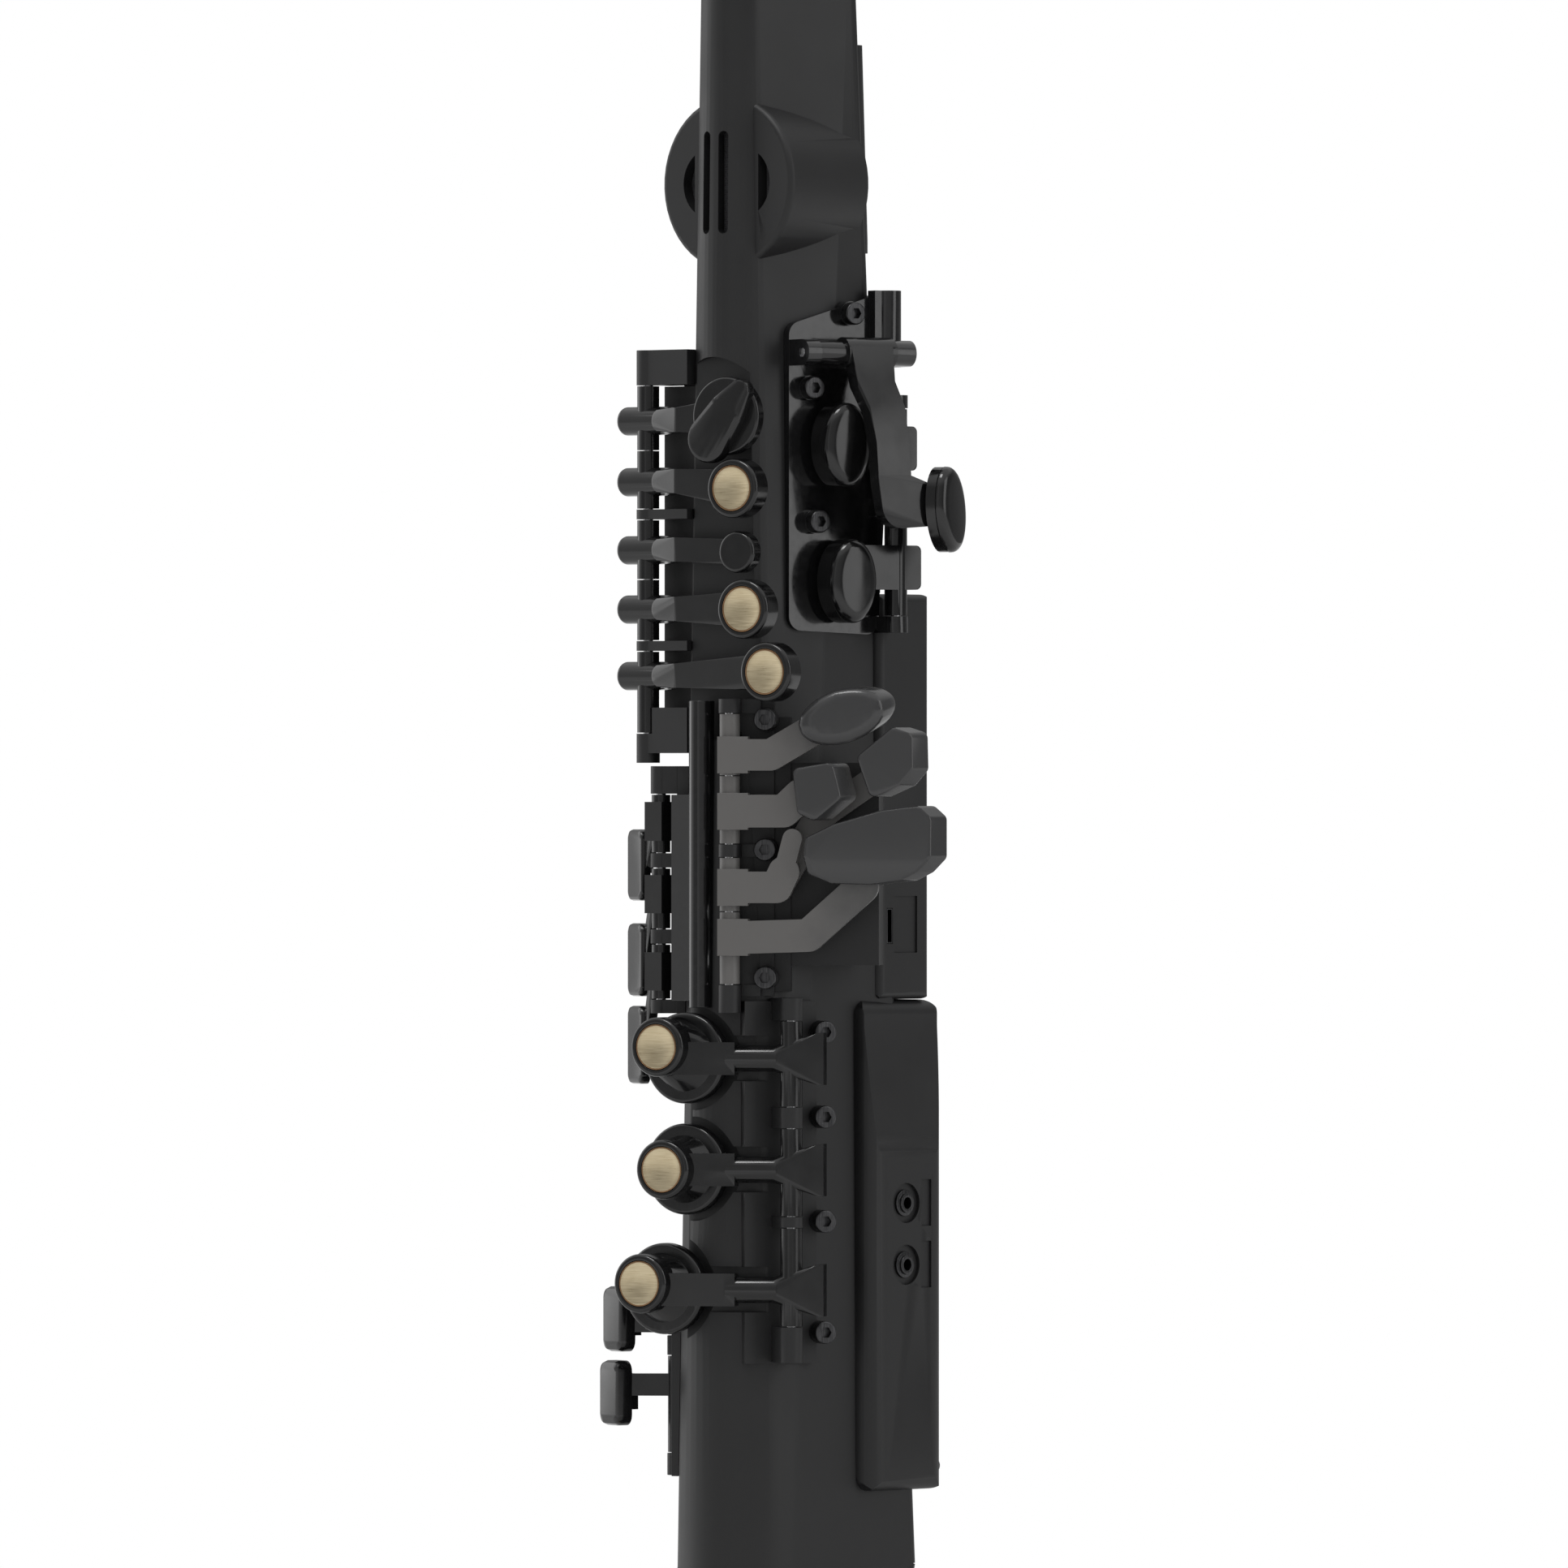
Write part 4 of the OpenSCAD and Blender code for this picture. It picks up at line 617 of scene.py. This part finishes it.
def oval_cap(name, key, way, half_width, half_length, body):
    """Lays a smooth domed cap over an oval touch."""
    middle, short_axis, long_axis, upright = touch_axes(nodes[key], Vector(way))
    mesh = bmesh.new()
    made = []
    for short_reach, long_reach, height in cap_loops(half_width, half_length):
        loop = []
        for step in range(CAP_STEPS):
            turn = 2 * math.pi * step / CAP_STEPS
            loop.append(mesh.verts.new(middle + short_axis * short_reach * math.cos(turn)
                                       + long_axis * long_reach * math.sin(turn) + upright * height))
        made.append(loop)
    for lower, upper in zip(made, made[1:]):
        for step in range(CAP_STEPS):
            ahead = (step + 1) % CAP_STEPS
            mesh.faces.new([lower[step], lower[ahead], upper[ahead], upper[step]])
    for loop, height in ((made[-1], TOP_PROUD + DOME), (made[0], CAP_FOOT)):
        tip = mesh.verts.new(middle + upright * height)
        for step in range(CAP_STEPS):
            mesh.faces.new([loop[step], loop[(step + 1) % CAP_STEPS], tip])
    place_piece(name, mesh, finishes["key_black"], body, edge=None)
    print(name, "at", [round(v * 1000, 1) for v in middle])


oval_cap("palm_eb_cap", "palm_key_eb", (1, 0, 0), 0.0082, 0.0128, "palm_eb")
oval_cap("palm_d_cap", "palm_key_d", (1, 0, 0), 0.0082, 0.0128, "palm_d")
oval_cap("palm_f_cap", "palm_key_f", (0.82, 0.57, 0), 0.008, 0.0132, "palm_f")

# %% [markdown]
# A power light sits beside the power button: a small milky dome pressed into the housing, dark
# because the instrument is off.

# %% Power light
LIGHT_DOME = [(0, -0.0006), (0.0012, -0.0006), (0.0012, 0.0001), (0.001, 0.0003), (0.0006, 0.00045),
              (0, 0.0005)]
light_lens = mottled("light_lens", (0.1, 0.035, 0.02), (0.16, 0.06, 0.03), 0.0006, 0.12, 0.2, 0.00001)
place, facing = surface_at("control_housing", (0.0105, BEHIND, 0.384), FORWARDS)
turned("power_light", LIGHT_DOME, place, facing, light_lens, "body")
print("power light at", [round(v * 1000, 1) for v in place])

# %% [markdown]
# A spun bell gets a rolled rim, because the edge of thin sheet is sharp and weak: the metal is turned
# over a wire into a bead. Two fine lines above it and two below the body were cut while it turned on
# the lathe. They stand out here as very low beads, so that they hold a highlight and a shadow.

# %% Rolled rim and turned lines of the bell
LINE_RISE, LINE_HALF = 0.00022, 0.0003
BEAD_FOOT = 0.0003


def bell_bead(name, height, rise, half):
    """A half-round bead round the bell, rise metres proud and two times half high."""
    place, _ = surface_at("bell", (-0.1, 0, height), (1, 0, 0))
    radius = -place.x
    rings = [(radius - BEAD_FOOT, height - half), (radius + rise * 0.5, height - half * 0.86),
             (radius + rise * 0.86, height - half * 0.5), (radius + rise, height),
             (radius + rise * 0.86, height + half * 0.5), (radius + rise * 0.5, height + half * 0.86),
             (radius - BEAD_FOOT, height + half)]
    turned(name, rings, (0, 0, 0), (0, 0, 1), finishes["brass"], "body", closed=True, steps=128,
           edge=FINE_EDGE)
    print(name, "radius", round(radius * 1000, 2))


bell_bead("bell_rim_roll", 0.0018, 0.0007, 0.0013)
bell_bead("bell_line_low_1", 0.0085, LINE_RISE, LINE_HALF)
bell_bead("bell_line_low_2", 0.0098, LINE_RISE, LINE_HALF)
bell_bead("bell_line_high_1", 0.0475, LINE_RISE, LINE_HALF)
bell_bead("bell_line_high_2", 0.0488, LINE_RISE, LINE_HALF)

# %% [markdown]
# Behind the sound openings lies a dark gauze that keeps dust off the loudspeaker. A weave this fine
# is a pattern of small round pits, so it is drawn in the material, from the cells of a Voronoi
# pattern in nearly even rows. Each pit is also painted darker than the wires round it: painted shade
# in the hollows.

# %% Gauze weave
WEAVE = 0.0007


def gauze_finish():
    finish, tree, shader = start_finish("speaker_gauze", (0.02, 0.02, 0.022), 0.7)
    place = tree.nodes.new("ShaderNodeTexCoord")
    cells = tree.nodes.new("ShaderNodeTexVoronoi")
    cells.inputs["Scale"].default_value = 1 / WEAVE
    cells.inputs["Randomness"].default_value = 0.25
    tree.links.new(place.outputs["Object"], cells.inputs["Vector"])
    pits = cells.outputs["Distance"]
    # the pits are painted darker than the wires: painted shade in the hollows of the weave
    blend_colours(tree, shader, pits, [(0.2, (0.006, 0.006, 0.007)), (0.5, (0.035, 0.035, 0.038))])
    spread(tree, pits, 0.85, 0.55, shader.inputs["Roughness"], 0.2, 0.5)
    relief(tree, shader, pits, 0.00015, 0.7)
    return finish


speaker_gauze = gauze_finish()
print("weave of", WEAVE * 1000, "mm:", speaker_gauze.name)

# %% [markdown]
# The gauze itself is thin panels: one disc at the front of the chamber, seen through the windows of
# the two ears, and a curved strip in each slot of the nose. A strip is four-sided in section and
# follows the nose's own curve, a little inside its wall.

# %% Speaker gauze
SPEAKER_HEIGHT, NOSE_AXIS_Y, CHAMBER_FRONT_Y = 0.521, -0.01553, -0.01903
GAUZE_RADIUS, GAUZE_THICK = 0.0186, 0.0004
STRIP_INNER, STRIP_OUTER, STRIP_HALF = 0.00915, 0.0096, 0.0155
disc = [(0, 0), (GAUZE_RADIUS, 0), (GAUZE_RADIUS, GAUZE_THICK), (0, GAUZE_THICK)]
turned("ear_gauze", disc, (0, CHAMBER_FRONT_Y, SPEAKER_HEIGHT), (0, 1, 0), speaker_gauze, "body",
       steps=96)


def nose_strip(label, middle):
    """A strip of gauze behind the slot whose middle is middle degrees from the front."""
    mesh = bmesh.new()
    columns = []
    for step in range(9):
        turn = math.radians(middle - 10 + 2.5 * step)
        columns.append([mesh.verts.new((radius * math.sin(turn), NOSE_AXIS_Y - radius * math.cos(turn), height))
                        for radius in (STRIP_INNER, STRIP_OUTER)
                        for height in (SPEAKER_HEIGHT - STRIP_HALF, SPEAKER_HEIGHT + STRIP_HALF)])
    for near, far in zip(columns, columns[1:]):
        for a, b in ((0, 1), (1, 3), (3, 2), (2, 0)):
            mesh.faces.new([near[a], near[b], far[b], far[a]])
    for column in (columns[0], columns[-1]):
        mesh.faces.new([column[0], column[1], column[3], column[2]])
    place_piece(f"nose_gauze_{label}", mesh, speaker_gauze, "body")


nose_strip("left", -13.2)
nose_strip("right", 15.4)
print("gauze: one disc and two strips")

# %% [markdown]
# Players stick a thin rubber patch on the beak of the mouthpiece, where the teeth rest. It follows
# the beak, so each of its rows is found by a line shot at the mouthpiece. A square grid pressed
# towards a circle gives the patch its round corners.

# %% Places of the patch's points
NECK_LEAN = math.radians(20)
ACROSS, ALONG = 12, 16
PATCH_HALF_WIDTH, PATCH_HALF_LENGTH, PATCH_MIDDLE = 0.0062, 0.0125, 0.0585
PATCH_LIFT = 0.0003
low_corner, high_corner = (Vector(corner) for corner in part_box("neck_cork"))
pipe_middle = (low_corner + high_corner) / 2
pipe_axis = Vector((0, math.sin(NECK_LEAN), math.cos(NECK_LEAN)))
pipe_front = Vector((0, -math.cos(NECK_LEAN), math.sin(NECK_LEAN)))


def on_beak(u, v):
    """A place on the beak; u goes from -1 to 1 across the patch, and v along it."""
    up = PATCH_MIDDLE + PATCH_HALF_LENGTH * v * math.sqrt(1 - 0.3 * u * u)
    # the beak is flat from side to side, so one line beside the middle serves the whole row
    start = pipe_middle + pipe_axis * up + pipe_front * 0.05 + Vector((0.0054, 0, 0))
    place, _ = surface_at("mouthpiece", start, -pipe_front)
    place.x = PATCH_HALF_WIDTH * u * math.sqrt(1 - 0.3 * v * v)
    return place + pipe_front * PATCH_LIFT


print("middle of the patch at", [round(v * 1000, 1) for v in on_beak(0, 0)])

# %% [markdown]
# The patch is a sheet, so its faces are one layer, and a modifier gives it its thickness of 0.6 mm.

# %% Bite patch
mesh = bmesh.new()
grid = [[mesh.verts.new(on_beak(2 * column / ACROSS - 1, 2 * row / ALONG - 1))
         for column in range(ACROSS + 1)] for row in range(ALONG + 1)]
for low_line, high_line in zip(grid, grid[1:]):
    for column in range(ACROSS):
        mesh.faces.new([low_line[column], low_line[column + 1], high_line[column + 1], high_line[column]])
patch_rubber = mottled("patch_rubber", (0.012, 0.012, 0.013), (0.022, 0.022, 0.023), 0.0012, 0.5, 0.65,
                       0.00004)
patch = place_piece("bite_patch", mesh, patch_rubber, "mouthpiece_set", edge=None)
thick = patch.modifiers.new("sheet_thickness", "SOLIDIFY")
thick.thickness = 2 * PATCH_LIFT
thick.offset = 0
print("bite patch of", len(patch.data.vertices), "points")

# %% [markdown]
# The studio is plain. A pale floor lies under the instrument and keeps its shadow. Far from the
# instrument the floor fades into the white of the surround. The fade is for the eye only: the camera,
# mirrors and glass see it, and it adds no light of its own to the object.

# %% Pale floor
FLOOR_RADIUS = 3.0
FADE_START, FADE_END = 0.15, 0.8
bpy.ops.mesh.primitive_circle_add(vertices=96, radius=FLOOR_RADIUS, fill_type="NGON", location=(0, 0, 0))
floor = bpy.context.object
floor.name = "studio_floor"
paint, tree, shader = start_finish("floor_paint", (0.82, 0.82, 0.82), 0.7)
place = tree.nodes.new("ShaderNodeTexCoord")
distance = tree.nodes.new("ShaderNodeVectorMath")
distance.operation = "LENGTH"
tree.links.new(place.outputs["Object"], distance.inputs[0])
ray = tree.nodes.new("ShaderNodeLightPath").outputs
looking = calculate(tree, "MAXIMUM", ray["Is Camera Ray"], ray["Is Glossy Ray"])
looking = calculate(tree, "MAXIMUM", looking, ray["Is Transmission Ray"])
fade = in_range(tree, distance.outputs["Value"], FADE_START, FADE_END)
glow = tree.nodes.new("ShaderNodeEmission")
glow.inputs["Color"].default_value = (1, 1, 1, 1)
both = tree.nodes.new("ShaderNodeMixShader")
tree.links.new(calculate(tree, "MULTIPLY", fade, looking), both.inputs["Fac"])
tree.links.new(shader.outputs["BSDF"], both.inputs[1])
tree.links.new(glow.outputs["Emission"], both.inputs[2])
tree.links.new(both.outputs["Shader"], tree.nodes["Material Output"].inputs["Surface"])
floor.data.materials.append(paint)
print("floor of", FLOOR_RADIUS, "m, white from", FADE_END, "m out")

# %% [markdown]
# Black gloss shows its surroundings, and in one even white it would look flat. A photographer stands
# panels round it, so that each key shows light and dark bands. Here the panels are the surround's
# brightness against the angle round the instrument from its front, with a light ceiling. Only
# reflections see them.

# %% Panels for the reflections
PANELS = [(-180, 0.28), (-110, 0.35), (-84, 1.0), (-46, 0.8), (-30, 0.38), (2, 0.34), (5, 0.7), (14, 0.7),
          (19, 0.5), (60, 0.42), (92, 0.12), (112, 0.22), (150, 0.24), (180, 0.28)]
CEILING_START, CEILING_FULL = 0.35, 0.7
world = bpy.data.worlds.new("white_surround")
world.use_nodes = True
bpy.context.scene.world = world
tree = world.node_tree
look = tree.nodes.new("ShaderNodeTexCoord")
parts = tree.nodes.new("ShaderNodeSeparateXYZ")
tree.links.new(look.outputs["Generated"], parts.inputs["Vector"])
turn = calculate(tree, "ARCTAN2", parts.outputs["X"], calculate(tree, "MULTIPLY", parts.outputs["Y"], -1))
turn = calculate(tree, "ADD", calculate(tree, "DIVIDE", turn, 2 * math.pi), 0.5)
panel = colours_along(tree, turn, [(angle / 360 + 0.5, (value, value, value)) for angle, value in PANELS])
ceiling = in_range(tree, parts.outputs["Z"], CEILING_START, CEILING_FULL)
panel_light = calculate(tree, "MAXIMUM", panel, ceiling)
print(len(PANELS), "points of brightness round the instrument")

# %% [markdown]
# The surround is white, with a strength of 1, to the camera and through clear stuff, and shows the
# panels in reflections. To everything else it is a weak, even light, so a colour looks about as it
# is written.

# %% White surround
EVEN_LIGHT = 0.5
ray = tree.nodes.new("ShaderNodeLightPath").outputs
seen_white = calculate(tree, "MAXIMUM", ray["Is Camera Ray"], ray["Is Transmission Ray"])
mirrored = calculate(tree, "MULTIPLY", ray["Is Glossy Ray"], panel_light)
shown = calculate(tree, "MAXIMUM", mirrored, seen_white)
spoken_for = calculate(tree, "MAXIMUM", ray["Is Glossy Ray"], seen_white)
even = calculate(tree, "MULTIPLY", calculate(tree, "SUBTRACT", 1, spoken_for), EVEN_LIGHT)
background = tree.nodes["Background"].inputs
background["Color"].default_value = (1, 1, 1, 1)
tree.links.new(calculate(tree, "ADD", shown, even), background["Strength"])
print("surround:", world.name)

# %% [markdown]
# Three wide, soft lamps give the shapes their light: one on each side and a smaller one overhead. All
# look at the middle of the instrument. They stay weak, so that black stays black and brass keeps
# its colour.

# %% Soft lamps
LAMPS_LOOK_AT = Vector((0, 0, 0.35))


def soft_lamp(name, turn, height, distance, size, watts):
    """A rectangular soft lamp at an angle round the instrument, turned from its front towards +X."""
    data = bpy.data.lights.new(name, "AREA")
    data.shape = "RECTANGLE"
    data.size, data.size_y = size
    data.energy = watts
    lamp = bpy.data.objects.new(name, data)
    bpy.context.scene.collection.objects.link(lamp)
    angle = math.radians(turn)
    lamp.location = (distance * math.sin(angle), -distance * math.cos(angle), height)
    lamp.rotation_euler = (LAMPS_LOOK_AT - lamp.location).to_track_quat("-Z", "Y").to_euler()
    print(name, "of", watts, "W at", [round(v, 2) for v in lamp.location])


soft_lamp("left_lamp", -78, 0.9, 2.0, (1.1, 1.8), 6)
soft_lamp("right_lamp", 100, 0.9, 2.0, (0.9, 1.6), 8)
soft_lamp("top_lamp", 10, 2.4, 0.9, (0.9, 0.5), 14)

# %% [markdown]
# The view transform stays Standard, so each colour shows as it is written.

# %% Colour view
bpy.context.scene.view_settings.view_transform = "Standard"
